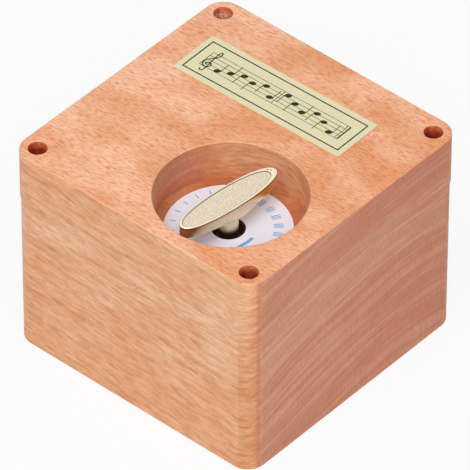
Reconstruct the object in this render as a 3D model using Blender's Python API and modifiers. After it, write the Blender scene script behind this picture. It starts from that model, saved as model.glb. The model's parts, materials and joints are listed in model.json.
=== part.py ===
"""A wooden music box: a beech block with a screwed cover, a wind-up key in a round recess,
and the 18-note comb movement that hangs inside under the cover.

The box lies key side up. The origin is the middle of the face that it lies on, +Z is up.
The movement is built as it stands on a bench, comb side up, in a frame of its own whose
origin is the winding shaft's axis on the mounting face: +X to the comb, +Y along the pin
cylinder, +Z away from the plate. An empty turns that frame over and hangs it in the box.
"""

import math

import bmesh
import bpy

MM = 0.001

# The casing
CASE_SIDE = 65 * MM
CASE_HEIGHT = 51 * MM
CASE_CORNER = 4.5 * MM
EDGE_EASE = 0.45 * MM
COVER_THICK = 12.5 * MM
BODY_INSET = 0.2 * MM
SEAM_GAP = 0.1 * MM
CASE_WALL = 6 * MM
CAVITY_CORNER = 8 * MM
DRIVE_SIDE_ROOM = 2.7 * MM
SPRING_END_ROOM = 0.9 * MM
FAR_END_ROOM = 1.7 * MM
FLOOR_ROOM = 5 * MM

# The recess for the key, and the paper labels
RECESS_DEPTH = 9.5 * MM
RECESS_SHIFT_X = 0.5 * MM
RECESS_SHIFT_Y = 0.2 * MM
RIM_EASE = 0.3 * MM
SHAFT_HOLE_RADIUS = 3.6 * MM
PAPER_THICK = 0.15 * MM
PAPER_GAP = 0.04 * MM
DISC_MARGIN = 2.75 * MM
DISC_HOLE_RADIUS = 3.55 * MM
LABEL_LENGTH = 44 * MM
LABEL_WIDTH = 12.8 * MM
LABEL_SHIFT_X = -3 * MM
LABEL_SHIFT_Y = -2.15 * MM
LABEL_TURN = math.radians(1.2)

# Wood screws: the four that hold the cover, then the three that hold the movement
COVER_SCREW_INSET = 4 * MM
COVER_SCREW_SINK = 7 * MM
HEAD_HOLE_RADIUS = 2.05 * MM
COVER_HEAD_RADIUS = 1.85 * MM
COVER_HEAD_HEIGHT = 1.4 * MM
COVER_SHANK_RADIUS = 1.1 * MM
COVER_SCREW_LENGTH = 14 * MM
MOVEMENT_HEAD_RADIUS = 2.2 * MM
MOVEMENT_HEAD_HEIGHT = 1.4 * MM
MOVEMENT_SHANK_RADIUS = 1.1 * MM
MOVEMENT_SCREW_LENGTH = 8.5 * MM
DRIVE_WIDTH = 0.5 * MM
DRIVE_DEPTH = 0.7 * MM

# Clearances
SEAT_GAP = 0.2 * MM
HOLE_GAP = 0.15 * MM
RUNNING_GAP = 0.08 * MM
FACE_GAP = 0.3 * MM
OVERRUN = 1 * MM

# The winding key
KEY_LENGTH = 26.15 * MM
KEY_WIDTH = 6.5 * MM
KEY_THICK = 2.8 * MM
KEY_SINK = 1.2 * MM
KEY_SWING = 2.925 * MM
KEY_TURN = math.radians(84.7)
KEY_SQUARENESS = 2.2
KEY_EASE = 0.35 * MM
KEY_RIM = 0.45 * MM
KEY_END_RIM = 0.9 * MM
KEY_FIELD_DEPTH = 0.12 * MM
KEY_STEM_RADIUS = 2.1 * MM
KEY_COLLAR_RADIUS = 3.0 * MM
KEY_COLLAR_HEIGHT = 2.2 * MM
KEY_STEM_REACH = 1.6 * MM
KEY_SOCKET_DEPTH = 5.5 * MM

# The bedplate
BED_THICK = 2.4 * MM
BED_SPRING_MARGIN = 0.45 * MM
BED_DRIVE_MARGIN = 1.05 * MM
BED_FAR_MARGIN = 0.15 * MM
BED_CORNER = 5 * MM
BED_SCREW_EDGE = 3.2 * MM
BED_COMB_SCREW_Y = -7.1 * MM
POST_WIDTH = 4 * MM
POST_THICK = 1.1 * MM
PEDESTAL_TOP_FACE = 0.9 * MM

# The winding arbor and what it carries
ARBOR_RADIUS = 2.2 * MM
ARBOR_TIP_RADIUS = 1.5 * MM
ARBOR_CORE_RADIUS = 2.4 * MM
ARBOR_PIVOT_RADIUS = 1.2 * MM
ARBOR_END = 1.5 * MM
CLIP_RADIUS = 2.4 * MM
CLIP_THICK = 0.5 * MM
CLIP_OPENING = math.radians(70)

# The drive gear (a crown gear), and the pinion that it turns
DRIVE_TEETH = 40
PINION_TEETH = 20
HOUSING_GAP = 1 * MM
DRIVE_DISC_THICK = 1.8 * MM
DRIVE_HUB_RECESS = 1.0 * MM
DRIVE_FACE_WIDTH = 1.4 * MM
DRIVE_RIM_MARGIN = 0.25 * MM
PINION_FACE_WIDTH = 1.2 * MM
PINION_BACKLASH = 0.1 * MM
CLUTCH_WIRE_RADIUS = 0.22 * MM
CLUTCH_PITCH = 0.62 * MM
CLUTCH_TURNS = 2.5
CLUTCH_CLEARANCE = 0.15 * MM

# The spring and its housing
HOUSING_RADIUS = 9.2 * MM
HOUSING_WALL = 0.6 * MM
HOUSING_DEPTH = 10.3 * MM
HOUSING_CROWN = 0.8 * MM
HOUSING_LEG_ANGLES = [math.radians(25), math.radians(155), math.radians(205), math.radians(335)]
LEG_GAP = 0.4 * MM
LEG_THICK = 0.8 * MM
LEG_WIDTH = 3.6 * MM
TAB_WIDTH = 2.4 * MM
TAB_REACH = 1.7 * MM
LEG_RELIEF = 0.08 * MM
LID_THICK = 0.6 * MM
SPRING_THICK = 0.35 * MM
SPRING_TURNS = 5

# The pin cylinder and its shaft
CYLINDER_RADIUS = 6.5 * MM
CYLINDER_WALL = 0.6 * MM
CYLINDER_SHAFT_RADIUS = 1.2 * MM
PIN_HEIGHT = 0.8 * MM
PIN_FOOT_RADIUS = 0.27 * MM
PIN_TIP_RADIUS = 0.17 * MM
PIN_COUNT = 48
NOTE_STRIDE = 7
PINS_A_SHIFT = 5
CAP_THICK = 1.2 * MM
NOTE_MARGIN = 0.5 * MM

# The comb
NOTES = 18
COMB_THICK = 0.9 * MM
COMB_CLEARANCE = 0.1 * MM
COMB_BACK_MARGIN = 0.9 * MM
COMB_END_MARGIN = 0.6 * MM
COMB_HEAD_RADIUS = 1.9 * MM
COMB_HEAD_HEIGHT = 1.1 * MM
COMB_SHANK_RADIUS = 0.9 * MM
COMB_SCREW_LENGTH = 5 * MM
WEIGHTED_NOTES = 6
WEIGHT_DEPTH = 2.1 * MM
WEIGHT_INSET = 0.9 * MM
WEIGHT_BITE = 0.15 * MM

# The governor: gear, pinion and worm wheel, worm, fan and bracket
TRAIN_MODULE = 0.4 * MM
CYLINDER_GEAR_TEETH = 36
GOVERNOR_PINION_TEETH = 9
WORM_WHEEL_TEETH = 20
GEAR_THICK = 1.2 * MM
GOVERNOR_PINION_THICK = 1.6 * MM
WORM_WHEEL_THICK = 1.4 * MM
WHEEL_HUB_RADIUS = 1.25 * MM
TRAIN_BACKLASH = 0.14 * MM
WHEEL_BACKLASH = 0.24 * MM
GOVERNOR_ARBOR_RADIUS = 0.6 * MM
WORM_PITCH_RADIUS = 1.1 * MM
WORM_THREAD_RADIUS = 0.4 * MM
WORM_THREAD_CENTRE = 0.95 * MM
WORM_CORE_RADIUS = 0.7 * MM
WORM_PIVOT_RADIUS = 0.4 * MM
WORM_TURNS = 4
FRAME_SHEET = 0.8 * MM
FRAME_WALL_ABOVE = 5.1 * MM
FRAME_SIDE_MARGIN = 0.6 * MM
FRAME_ARM_MARGIN = 1.7 * MM
FRAME_RELIEF = 0.1 * MM
GOVERNOR_HEAD_RADIUS = 1.4 * MM
GOVERNOR_HEAD_HEIGHT = 0.9 * MM
GOVERNOR_SHANK_RADIUS = 0.7 * MM
GOVERNOR_SCREW_LENGTH = 2.4 * MM
FAN_SPAN = 7.4 * MM
FAN_HEIGHT = 3 * MM
FAN_THICK = 0.5 * MM
FAN_HUB_RADIUS = 1.1 * MM
FAN_GRIP = 2.6 * MM

# Shares of the sizes that they follow
DEDENDUM_SHARE = 1.15
ADDENDUM_SHARE = 0.85
WHEEL_ADDENDUM_SHARE = 0.5
CROWN_SHARE = 0.4
SLOT_REACH_SHARE = 0.55
ARM_END_SHARE = 0.7
SCREW_POINT_SHARE = 1.6
COMB_SIDE_SHARE = 0.7576
CROWN_WIDTH_SHARE = 1.037
CROWN_HEIGHT_SHARE = 1.944
CROWN_ADDENDUM_SHARE = 0.8333
TOOTH_SLIT_SHARE = 0.22
BASS_SHARE = 0.703
TREBLE_SHARE = 0.39
COMB_SCREW_BACK_SHARE = 0.177
COMB_SCREW_SPREAD_SHARE = 0.25
WEIGHT_LENGTH_SHARE = 0.177
WEIGHT_SIDE_SHARE = 0.08
WEIGHT_TAPER_SHARE = 0.7

PRESSURE_ANGLE = math.radians(20)
QUARTER = math.pi / 2
TURN = 2 * math.pi

# Facets
CORNER_STEPS = 8
FINE_STEPS = 48
WIDE_STEPS = 36
ROUND_STEPS = 20
HOLE_STEPS = 16
SMALL_STEPS = 10
THREAD_STEPS = 12
SPRING_STEPS = 14
PIN_SIDES = 4
MERGE_DISTANCE = 0.002 * MM
SMOOTH_ANGLE = math.radians(35)

# Heights and places that follow from the sizes above. First the casing, from its top down
INSIDE = CASE_SIDE / 2 - CASE_WALL
UNDERSIDE = CASE_HEIGHT - COVER_THICK
BODY_TOP = UNDERSIDE - SEAM_GAP
RECESS_FLOOR = CASE_HEIGHT - RECESS_DEPTH
MOUNTING_FACE = UNDERSIDE - SEAT_GAP
SCREW_REACH = CASE_SIDE / 2 - COVER_SCREW_INSET
KEY_TOP = CASE_HEIGHT - KEY_SINK
KEY_BOTTOM = KEY_TOP - KEY_THICK
KEY_STEM_END = RECESS_FLOOR - KEY_STEM_REACH

# The drive gear goes round the housing, and its pinion runs on the gear's teeth
DRIVE_RADIUS = HOUSING_RADIUS + HOUSING_GAP + PINION_FACE_WIDTH / 2
DRIVE_MODULE = 2 * DRIVE_RADIUS / DRIVE_TEETH
DRIVE_TOOTH_WIDTH = DRIVE_MODULE * CROWN_WIDTH_SHARE
DRIVE_TOOTH_HEIGHT = DRIVE_MODULE * CROWN_HEIGHT_SHARE
DRIVE_ADDENDUM = DRIVE_MODULE * CROWN_ADDENDUM_SHARE
PINION_RADIUS = PINION_TEETH * DRIVE_MODULE / 2
DRIVE_LOW = BED_THICK + FACE_GAP
DRIVE_TOP = DRIVE_LOW + DRIVE_DISC_THICK
DRIVE_TIPS = DRIVE_TOP + DRIVE_TOOTH_HEIGHT
AXIS_HEIGHT = DRIVE_TIPS - DRIVE_ADDENDUM + PINION_RADIUS
PINION_START = DRIVE_RADIUS - PINION_FACE_WIDTH / 2
DRIVE_RIM = DRIVE_RADIUS + DRIVE_FACE_WIDTH / 2 + DRIVE_RIM_MARGIN
LEG_RADIUS = DRIVE_RIM + LEG_GAP

# The bedplate fills the casing's inside, less the room round it, and its shaft places the key
BED_SPRING_END = DRIVE_RIM + BED_SPRING_MARGIN
BED_DRIVE_SIDE = LEG_RADIUS + LEG_THICK + BED_DRIVE_MARGIN
SHAFT_X = INSIDE - DRIVE_SIDE_ROOM - BED_DRIVE_SIDE
SHAFT_Y = SPRING_END_ROOM + BED_SPRING_END - INSIDE
BED_FAR_END = INSIDE - FAR_END_ROOM - SHAFT_Y
BED_COMB_SIDE = COMB_SIDE_SHARE * (SHAFT_X + INSIDE)
RECESS_X = SHAFT_X + RECESS_SHIFT_X
RECESS_Y = SHAFT_Y + RECESS_SHIFT_Y
RECESS_RADIUS = KEY_LENGTH / 2 + KEY_SWING
DISC_RADIUS = RECESS_RADIUS - DISC_MARGIN
LABEL_Y = (RECESS_Y + RECESS_RADIUS + CASE_SIDE / 2) / 2 + LABEL_SHIFT_Y

HOUSING_LOW = DRIVE_TIPS + FACE_GAP
HOUSING_TOP = HOUSING_LOW + HOUSING_DEPTH
LID_LOW = HOUSING_LOW
SPRING_LOW = LID_LOW + LID_THICK + SEAT_GAP
CLIP_LOW = HOUSING_TOP + SEAT_GAP
ARBOR_TOP = CLIP_LOW + ARBOR_END
ARBOR_SHOULDER = HOUSING_TOP - HOUSING_WALL - SEAT_GAP
ARBOR_LOW = MOUNTING_FACE - KEY_STEM_END
SPRING_WIDTH = ARBOR_SHOULDER - SPRING_LOW - 2 * SEAT_GAP

# The governor stands at the bedplate's far end, and the cylinder takes the length that is left
WORM_REACH = WORM_THREAD_CENTRE + WORM_THREAD_RADIUS
OUTER_WALL_END = BED_FAR_END - BED_FAR_MARGIN
OUTER_WALL_START = OUTER_WALL_END - FRAME_SHEET
WORM_Y = OUTER_WALL_START - FACE_GAP - WORM_REACH
GEAR_END = WORM_Y - WORM_REACH - FACE_GAP
GEAR_START = GEAR_END - GEAR_THICK
NEAR_POST_START = DRIVE_RIM + FACE_GAP
NEAR_POST_END = NEAR_POST_START + POST_THICK
FAR_POST_START = GEAR_END + FACE_GAP
FAR_POST_END = FAR_POST_START + POST_THICK
SHAFT_START = PINION_START - SEAT_GAP
SHAFT_END = FAR_POST_END + SEAT_GAP
CYLINDER_START = NEAR_POST_END + FACE_GAP
CYLINDER_LENGTH = GEAR_START - FACE_GAP - CYLINDER_START
PIN_REACH = CYLINDER_RADIUS + PIN_HEIGHT

FIRST_NOTE = CYLINDER_START + NOTE_MARGIN
NOTE_PITCH = (CYLINDER_LENGTH - 2 * NOTE_MARGIN) / NOTES
LAST_NOTE = FIRST_NOTE + NOTES * NOTE_PITCH
TOOTH_SLIT = NOTE_PITCH * TOOTH_SLIT_SHARE
COMB_TIP = PIN_REACH + COMB_CLEARANCE
COMB_LOW = AXIS_HEIGHT - COMB_THICK / 2
COMB_TOP = COMB_LOW + COMB_THICK
COMB_BACK = BED_COMB_SIDE - COMB_BACK_MARGIN
COMB_LENGTH = COMB_BACK - COMB_TIP
PEDESTAL_TOP = COMB_LOW - SEAT_GAP

GEAR_RADIUS = CYLINDER_GEAR_TEETH * TRAIN_MODULE / 2
GOVERNOR_PINION_RADIUS = GOVERNOR_PINION_TEETH * TRAIN_MODULE / 2
WORM_WHEEL_RADIUS = WORM_WHEEL_TEETH * TRAIN_MODULE / 2
WORM_PITCH = math.pi * TRAIN_MODULE
GOVERNOR_X = -GEAR_RADIUS - GOVERNOR_PINION_RADIUS
WORM_X = GOVERNOR_X + WORM_WHEEL_RADIUS + WORM_PITCH_RADIUS
GOVERNOR_PINION_START = (GEAR_START + GEAR_END - GOVERNOR_PINION_THICK) / 2
GOVERNOR_PINION_END = GOVERNOR_PINION_START + GOVERNOR_PINION_THICK
WORM_WHEEL_START = WORM_Y - WORM_WHEEL_THICK / 2
INNER_WALL_END = GOVERNOR_PINION_START - FACE_GAP
INNER_WALL_START = INNER_WALL_END - FRAME_SHEET
FRAME_LOW = BED_THICK + SEAT_GAP
FRAME_FLOOR = FRAME_LOW + FRAME_SHEET
BRIDGE_TOP = AXIS_HEIGHT + GEAR_RADIUS + TRAIN_MODULE
BRIDGE_LOW = BRIDGE_TOP - FRAME_SHEET
FRAME_SIDE = FRAME_SIDE_MARGIN - BED_DRIVE_SIDE
FRAME_ARM = WORM_X + FRAME_ARM_MARGIN
FAN_LOW = BRIDGE_TOP + FACE_GAP
FAN_TOP = FAN_LOW + FAN_HEIGHT
CAVITY_FLOOR = MOUNTING_FACE - FAN_TOP - FLOOR_ROOM


# Scene, materials and objects


def clear_scene():
    for old in list(bpy.data.objects):
        bpy.data.objects.remove(old)


def new_collection(name):
    group = bpy.data.collections.new(name)
    bpy.context.scene.collection.children.link(group)
    return group


clear_scene()
PARTS = new_collection("wooden_music_box")
CUTTERS = new_collection("cutters")
CUTTERS.hide_render = True


def new_material(name, colour, roughness, metallic=0):
    made = bpy.data.materials.new(name)
    made.use_nodes = True
    shader = made.node_tree.nodes["Principled BSDF"]
    shader.inputs["Base Color"].default_value = (*colour, 1)
    shader.inputs["Roughness"].default_value = roughness
    shader.inputs["Metallic"].default_value = metallic
    return made


BEECH = new_material("oiled_beech", (0.80, 0.42, 0.24), 0.5)
KEY_METAL = new_material("pale_gilt_metal", (0.83, 0.70, 0.45), 0.35, 1)
WHITE_PAPER = new_material("white_paper", (0.86, 0.84, 0.88), 0.8)
PALE_PAPER = new_material("pale_label_paper", (0.74, 0.72, 0.48), 0.6)
CAST_ZINC = new_material("cast_zinc", (0.55, 0.56, 0.57), 0.45, 1)
BRASS = new_material("yellow_brass", (0.78, 0.60, 0.28), 0.3, 1)
STEEL = new_material("bright_steel", (0.62, 0.62, 0.63), 0.28, 1)
SPRING_STEEL = new_material("blued_spring_steel", (0.18, 0.20, 0.26), 0.35, 1)
SCREW_STEEL = new_material("dark_screw_steel", (0.30, 0.28, 0.26), 0.4, 1)
NYLON = new_material("white_nylon", (0.82, 0.82, 0.78), 0.55)


def keep(piece, name, finish, location=(0, 0, 0), rotation=(0, 0, 0), parent=None):
    """Puts a finished piece in its place and applies its modifiers, so that it is shaded as one form."""
    piece.name = name
    piece.location = location
    piece.rotation_euler = rotation
    piece.parent = parent
    bpy.context.view_layer.update()
    graph = bpy.context.evaluated_depsgraph_get()
    mesh = bpy.data.meshes.new_from_object(piece.evaluated_get(graph))
    mesh.name = name
    mesh.materials.clear()
    mesh.materials.append(finish)
    shade_round(mesh)
    piece.modifiers.clear()
    piece.data = mesh
    return piece


def as_cutter(tool, location=(0, 0, 0), rotation=(0, 0, 0), parent=None):
    """Puts a helper shape in its place, out of the render."""
    tool.location = location
    tool.rotation_euler = rotation
    tool.parent = parent
    PARTS.objects.unlink(tool)
    CUTTERS.objects.link(tool)
    tool.hide_render = True
    tool.display_type = "WIRE"
    return tool


def combine(piece, tool, operation):
    step = piece.modifiers.new(operation.lower(), "BOOLEAN")
    step.operation = operation
    step.solver = "EXACT"
    step.object = tool
    return piece


def cut(piece, tool):
    return combine(piece, tool, "DIFFERENCE")


def join(piece, tool):
    return combine(piece, tool, "UNION")


# Shapes


def shade_round(mesh):
    mesh.shade_smooth()
    mesh.set_sharp_from_angle(angle=SMOOTH_ANGLE)


def from_bmesh(name, shape):
    bmesh.ops.recalc_face_normals(shape, faces=shape.faces)
    mesh = bpy.data.meshes.new(name)
    shape.to_mesh(mesh)
    shape.free()
    shade_round(mesh)
    made = bpy.data.objects.new(name, mesh)
    PARTS.objects.link(made)
    return made


def from_curve(guide):
    """Makes a curve a welded mesh object, and removes the curve."""
    PARTS.objects.link(guide)
    bpy.context.view_layer.update()
    graph = bpy.context.evaluated_depsgraph_get()
    mesh = bpy.data.meshes.new_from_object(guide.evaluated_get(graph))
    shape = bmesh.new()
    shape.from_mesh(mesh)
    bpy.data.objects.remove(guide)
    bpy.data.meshes.remove(mesh)
    bmesh.ops.remove_doubles(shape, verts=shape.verts, dist=MERGE_DISTANCE)
    return from_bmesh("shape", shape)


def plate(outlines, thickness):
    """A flat piece from closed outlines, the first one outside and the rest holes. Its low face is at 0."""
    curve = bpy.data.curves.new("outline", "CURVE")
    curve.dimensions = "2D"
    curve.fill_mode = "BOTH"
    curve.extrude = thickness / 2
    for outline in outlines:
        spline = curve.splines.new("POLY")
        spline.points.add(len(outline) - 1)
        spline.use_cyclic_u = True
        for point, (x, y) in zip(spline.points, outline):
            point.co = (x, y, 0, 1)
    made = from_curve(bpy.data.objects.new("outline", curve))
    for corner in made.data.vertices:
        corner.co.z += thickness / 2
    return made


def tube(path, radius, resolution):
    """A round wire along a path of points."""
    curve = bpy.data.curves.new("wire", "CURVE")
    curve.dimensions = "3D"
    curve.bevel_depth = radius
    curve.bevel_resolution = resolution
    curve.use_fill_caps = True
    spline = curve.splines.new("POLY")
    spline.points.add(len(path) - 1)
    for point, place in zip(spline.points, path):
        point.co = (*place, 1)
    return from_curve(bpy.data.objects.new("wire", curve))


def turned(profile, steps, closed=False):
    """A lathe form. The profile of (radius, height) points runs down its outer side."""
    mesh = bpy.data.meshes.new("profile")
    count = len(profile)
    edges = [(i, i + 1) for i in range(count - 1)]
    if closed:
        edges.append((count - 1, 0))
    mesh.from_pydata([(radius, 0, height) for radius, height in profile], edges, [])
    made = bpy.data.objects.new("turned", mesh)
    PARTS.objects.link(made)
    spin = made.modifiers.new("spin", "SCREW")
    spin.steps = steps
    spin.render_steps = steps
    spin.use_merge_vertices = True
    spin.merge_threshold = MERGE_DISTANCE
    spin.use_smooth_shade = True
    return made


def rod(radius, low, high, steps=ROUND_STEPS):
    """A plain round bar between two heights."""
    shape = bmesh.new()
    bmesh.ops.create_cone(
        shape, cap_ends=True, segments=steps, radius1=radius, radius2=radius, depth=high - low
    )
    bmesh.ops.translate(shape, verts=shape.verts, vec=(0, 0, (low + high) / 2))
    return from_bmesh("rod", shape)


def block(low, high):
    """A plain box between two corners."""
    shape = bmesh.new()
    bmesh.ops.create_cube(shape, size=1)
    size = [b - a for a, b in zip(low, high)]
    middle = [(a + b) / 2 for a, b in zip(low, high)]
    bmesh.ops.scale(shape, verts=shape.verts, vec=size)
    bmesh.ops.translate(shape, verts=shape.verts, vec=middle)
    return from_bmesh("block", shape)


def ease_edges(piece, width, steps=2):
    bevel = piece.modifiers.new("eased_edges", "BEVEL")
    bevel.width = width
    bevel.segments = steps
    bevel.limit_method = "ANGLE"
    bevel.angle_limit = SMOOTH_ANGLE
    return piece


def merge_caps(piece):
    """Joins the triangles of each flat face into one face, so that a bevel runs clean."""
    shape = bmesh.new()
    shape.from_mesh(piece.data)
    bmesh.ops.dissolve_limit(
        shape, angle_limit=math.radians(1), verts=shape.verts, edges=shape.edges
    )
    shape.to_mesh(piece.data)
    shape.free()
    return piece


# Outlines


def arc(x, y, radius, start, end, steps):
    """Points on an arc, both ends included."""
    angles = [start + (end - start) * i / steps for i in range(steps + 1)]
    return [(x + radius * math.cos(a), y + radius * math.sin(a)) for a in angles]


def circle(x, y, radius, steps=SMALL_STEPS):
    return arc(x, y, radius, 0, TURN, steps)[:-1]


def rounded_box(low_x, low_y, high_x, high_y, radius, steps=CORNER_STEPS):
    corners = [
        (high_x - radius, low_y + radius, -QUARTER),
        (high_x - radius, high_y - radius, 0),
        (low_x + radius, high_y - radius, QUARTER),
        (low_x + radius, low_y + radius, math.pi),
    ]
    points = []
    for x, y, start in corners:
        points += arc(x, y, radius, start, start + QUARTER, steps)
    return points


def turned_points(points, angle):
    c, s = math.cos(angle), math.sin(angle)
    return [(x * c - y * s, x * s + y * c) for x, y in points]


def turn_corner(corner, angle):
    """Turns a mesh corner about the Z axis."""
    corner.co.xy = turned_points([corner.co.xy], angle)[0]


def shifted(points, dx, dy):
    return [(x + dx, y + dy) for x, y in points]


def box_points(half_length, half_width):
    return [
        (-half_length, -half_width),
        (half_length, -half_width),
        (half_length, half_width),
        (-half_length, half_width),
    ]


def involute(angle):
    return math.tan(angle) - angle


def tooth_half_angle(radius, teeth, module, backlash):
    """Half the angle that a tooth takes up at this radius, on an involute flank."""
    pitch_radius = teeth * module / 2
    base_radius = pitch_radius * math.cos(PRESSURE_ANGLE)
    at_pitch = QUARTER / teeth - backlash / (2 * pitch_radius)
    here = math.acos(base_radius / max(radius, base_radius))
    return at_pitch + involute(PRESSURE_ANGLE) - involute(here)


def gear_outline(teeth, module, backlash, phase=0, addendum=ADDENDUM_SHARE, curved=False):
    """A gear's outline. A curved flank has a point more, at the pitch circle."""
    pitch_radius = teeth * module / 2
    root = pitch_radius - DEDENDUM_SHARE * module
    tip = pitch_radius + addendum * module
    radii = (root, pitch_radius, tip) if curved else (root, tip)
    points = []
    for i in range(teeth):
        middle = phase + TURN * i / teeth
        flank = [(r, tooth_half_angle(r, teeth, module, backlash)) for r in radii]
        points += [(r * math.cos(middle - a), r * math.sin(middle - a)) for r, a in flank]
        flank.reverse()
        points += [(r * math.cos(middle + a), r * math.sin(middle + a)) for r, a in flank]
    return points


# Fasteners


def screw(name, head_radius, head_height, shank_radius, length, location, parent=None, finish=SCREW_STEEL):
    """A pan-head screw whose head sits on its origin and whose shank runs down from it."""
    profile = [
        (0, head_height),
        (head_radius * (1 - CROWN_SHARE), head_height),
        (head_radius, head_height * CROWN_SHARE),
        (head_radius, 0),
        (shank_radius, 0),
        (shank_radius, -length + shank_radius * SCREW_POINT_SHARE),
        (0, -length),
    ]
    made = turned(profile, SMALL_STEPS)
    reach = head_radius * SLOT_REACH_SHARE
    slot_depth = min(DRIVE_DEPTH, head_height / 2)
    slots = plate([cross_outline(reach, DRIVE_WIDTH / 2)], slot_depth + OVERRUN)
    bottom = (location[0], location[1], location[2] + head_height - slot_depth)
    cut(made, as_cutter(slots, bottom, parent=parent))
    return keep(made, name, finish, location, parent=parent)


def cross_outline(reach, half_width):
    """A cross whose four arms narrow a little towards their ends."""
    end = half_width * ARM_END_SHARE
    arm = [(half_width, -half_width), (reach, -end), (reach, end)]
    points = []
    for quarter in range(4):
        points += turned_points(arm, quarter * QUARTER)
    return points


# The casing


def make_box_body():
    half = CASE_SIDE / 2 - BODY_INSET
    corner = CASE_CORNER - BODY_INSET
    body = merge_caps(plate([rounded_box(-half, -half, half, half, corner)], BODY_TOP))
    ease_edges(body, EDGE_EASE)
    outline = rounded_box(-INSIDE, -INSIDE, INSIDE, INSIDE, CAVITY_CORNER)
    cavity = plate([outline], BODY_TOP - CAVITY_FLOOR + OVERRUN)
    cut(body, as_cutter(cavity, (0, 0, CAVITY_FLOOR)))
    depth = COVER_SCREW_LENGTH + COVER_SCREW_SINK - COVER_THICK + OVERRUN
    for x, y in cover_screw_places():
        pilot = rod(COVER_SHANK_RADIUS + HOLE_GAP, -depth, OVERRUN, SMALL_STEPS)
        cut(body, as_cutter(pilot, (x, y, BODY_TOP)))
    return keep(body, "box_body", BEECH)


def cover_screw_places():
    return [(x * SCREW_REACH, y * SCREW_REACH) for x, y in ((-1, -1), (1, -1), (1, 1), (-1, 1))]


def make_cover_plate():
    half = CASE_SIDE / 2
    outline = rounded_box(-half, -half, half, half, CASE_CORNER)
    cover = merge_caps(plate([outline], COVER_THICK))
    ease_edges(cover, EDGE_EASE)
    mouth = [
        (0, RECESS_DEPTH + OVERRUN),
        (RECESS_RADIUS + RIM_EASE, RECESS_DEPTH + OVERRUN),
        (RECESS_RADIUS + RIM_EASE, RECESS_DEPTH),
        (RECESS_RADIUS, RECESS_DEPTH - RIM_EASE),
        (RECESS_RADIUS, 0),
        (0, 0),
    ]
    recess = turned(mouth, FINE_STEPS)
    cut(cover, as_cutter(recess, (RECESS_X, RECESS_Y, RECESS_FLOOR)))
    shaft_hole = rod(SHAFT_HOLE_RADIUS, -OVERRUN, COVER_THICK)
    cut(cover, as_cutter(shaft_hole, (SHAFT_X, SHAFT_Y, UNDERSIDE)))
    for x, y in cover_screw_places():
        hole = turned(screw_hole_profile(), HOLE_STEPS)
        cut(cover, as_cutter(hole, (x, y, CASE_HEIGHT)))
    for x, y in movement_screw_places():
        depth = MOVEMENT_SCREW_LENGTH - BED_THICK
        pilot = rod(MOVEMENT_SHANK_RADIUS + HOLE_GAP, -OVERRUN, depth, SMALL_STEPS)
        cut(cover, as_cutter(pilot, (SHAFT_X - x, SHAFT_Y + y, UNDERSIDE)))
    return keep(cover, "cover_plate", BEECH, (0, 0, UNDERSIDE))


def screw_hole_profile():
    """The counterbore for a head, and the shank's hole below it, measured down from the cover's face."""
    shoulder = COVER_SCREW_SINK
    shank = COVER_SHANK_RADIUS + HOLE_GAP
    return [
        (0, OVERRUN),
        (HEAD_HOLE_RADIUS + RIM_EASE / 2, OVERRUN),
        (HEAD_HOLE_RADIUS + RIM_EASE / 2, 0),
        (HEAD_HOLE_RADIUS, -RIM_EASE / 2),
        (HEAD_HOLE_RADIUS, -shoulder),
        (shank, -shoulder),
        (shank, -COVER_THICK - OVERRUN),
        (0, -COVER_THICK - OVERRUN),
    ]


def make_cover_screws():
    seat = CASE_HEIGHT - COVER_SCREW_SINK + HOLE_GAP
    for number, (x, y) in enumerate(cover_screw_places(), 1):
        screw(
            f"cover_screw_{number}",
            COVER_HEAD_RADIUS,
            COVER_HEAD_HEIGHT,
            COVER_SHANK_RADIUS,
            COVER_SCREW_LENGTH,
            (x, y, seat),
        )


def make_labels():
    ring = [circle(0, 0, DISC_RADIUS, FINE_STEPS), circle(0, 0, DISC_HOLE_RADIUS, ROUND_STEPS)]
    disc = plate(ring, PAPER_THICK)
    keep(disc, "recess_label", WHITE_PAPER, (SHAFT_X, SHAFT_Y, RECESS_FLOOR + PAPER_GAP))
    label = plate([box_points(LABEL_LENGTH / 2, LABEL_WIDTH / 2)], PAPER_THICK)
    place = (LABEL_SHIFT_X, LABEL_Y, CASE_HEIGHT + PAPER_GAP)
    keep(label, "title_label", PALE_PAPER, place, (0, 0, LABEL_TURN))


def oval(length, width):
    """A long oval, a little fuller than an ellipse and nearly pointed at its ends."""
    points = []
    for i in range(FINE_STEPS):
        a = TURN * (i + 1 / 2) / FINE_STEPS
        c, s = math.cos(a), math.sin(a)
        x = math.copysign(abs(c) ** (2 / KEY_SQUARENESS), c) * length / 2
        y = math.copysign(abs(s) ** (2 / KEY_SQUARENESS), s) * width / 2
        points.append((x, y))
    return points


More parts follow.
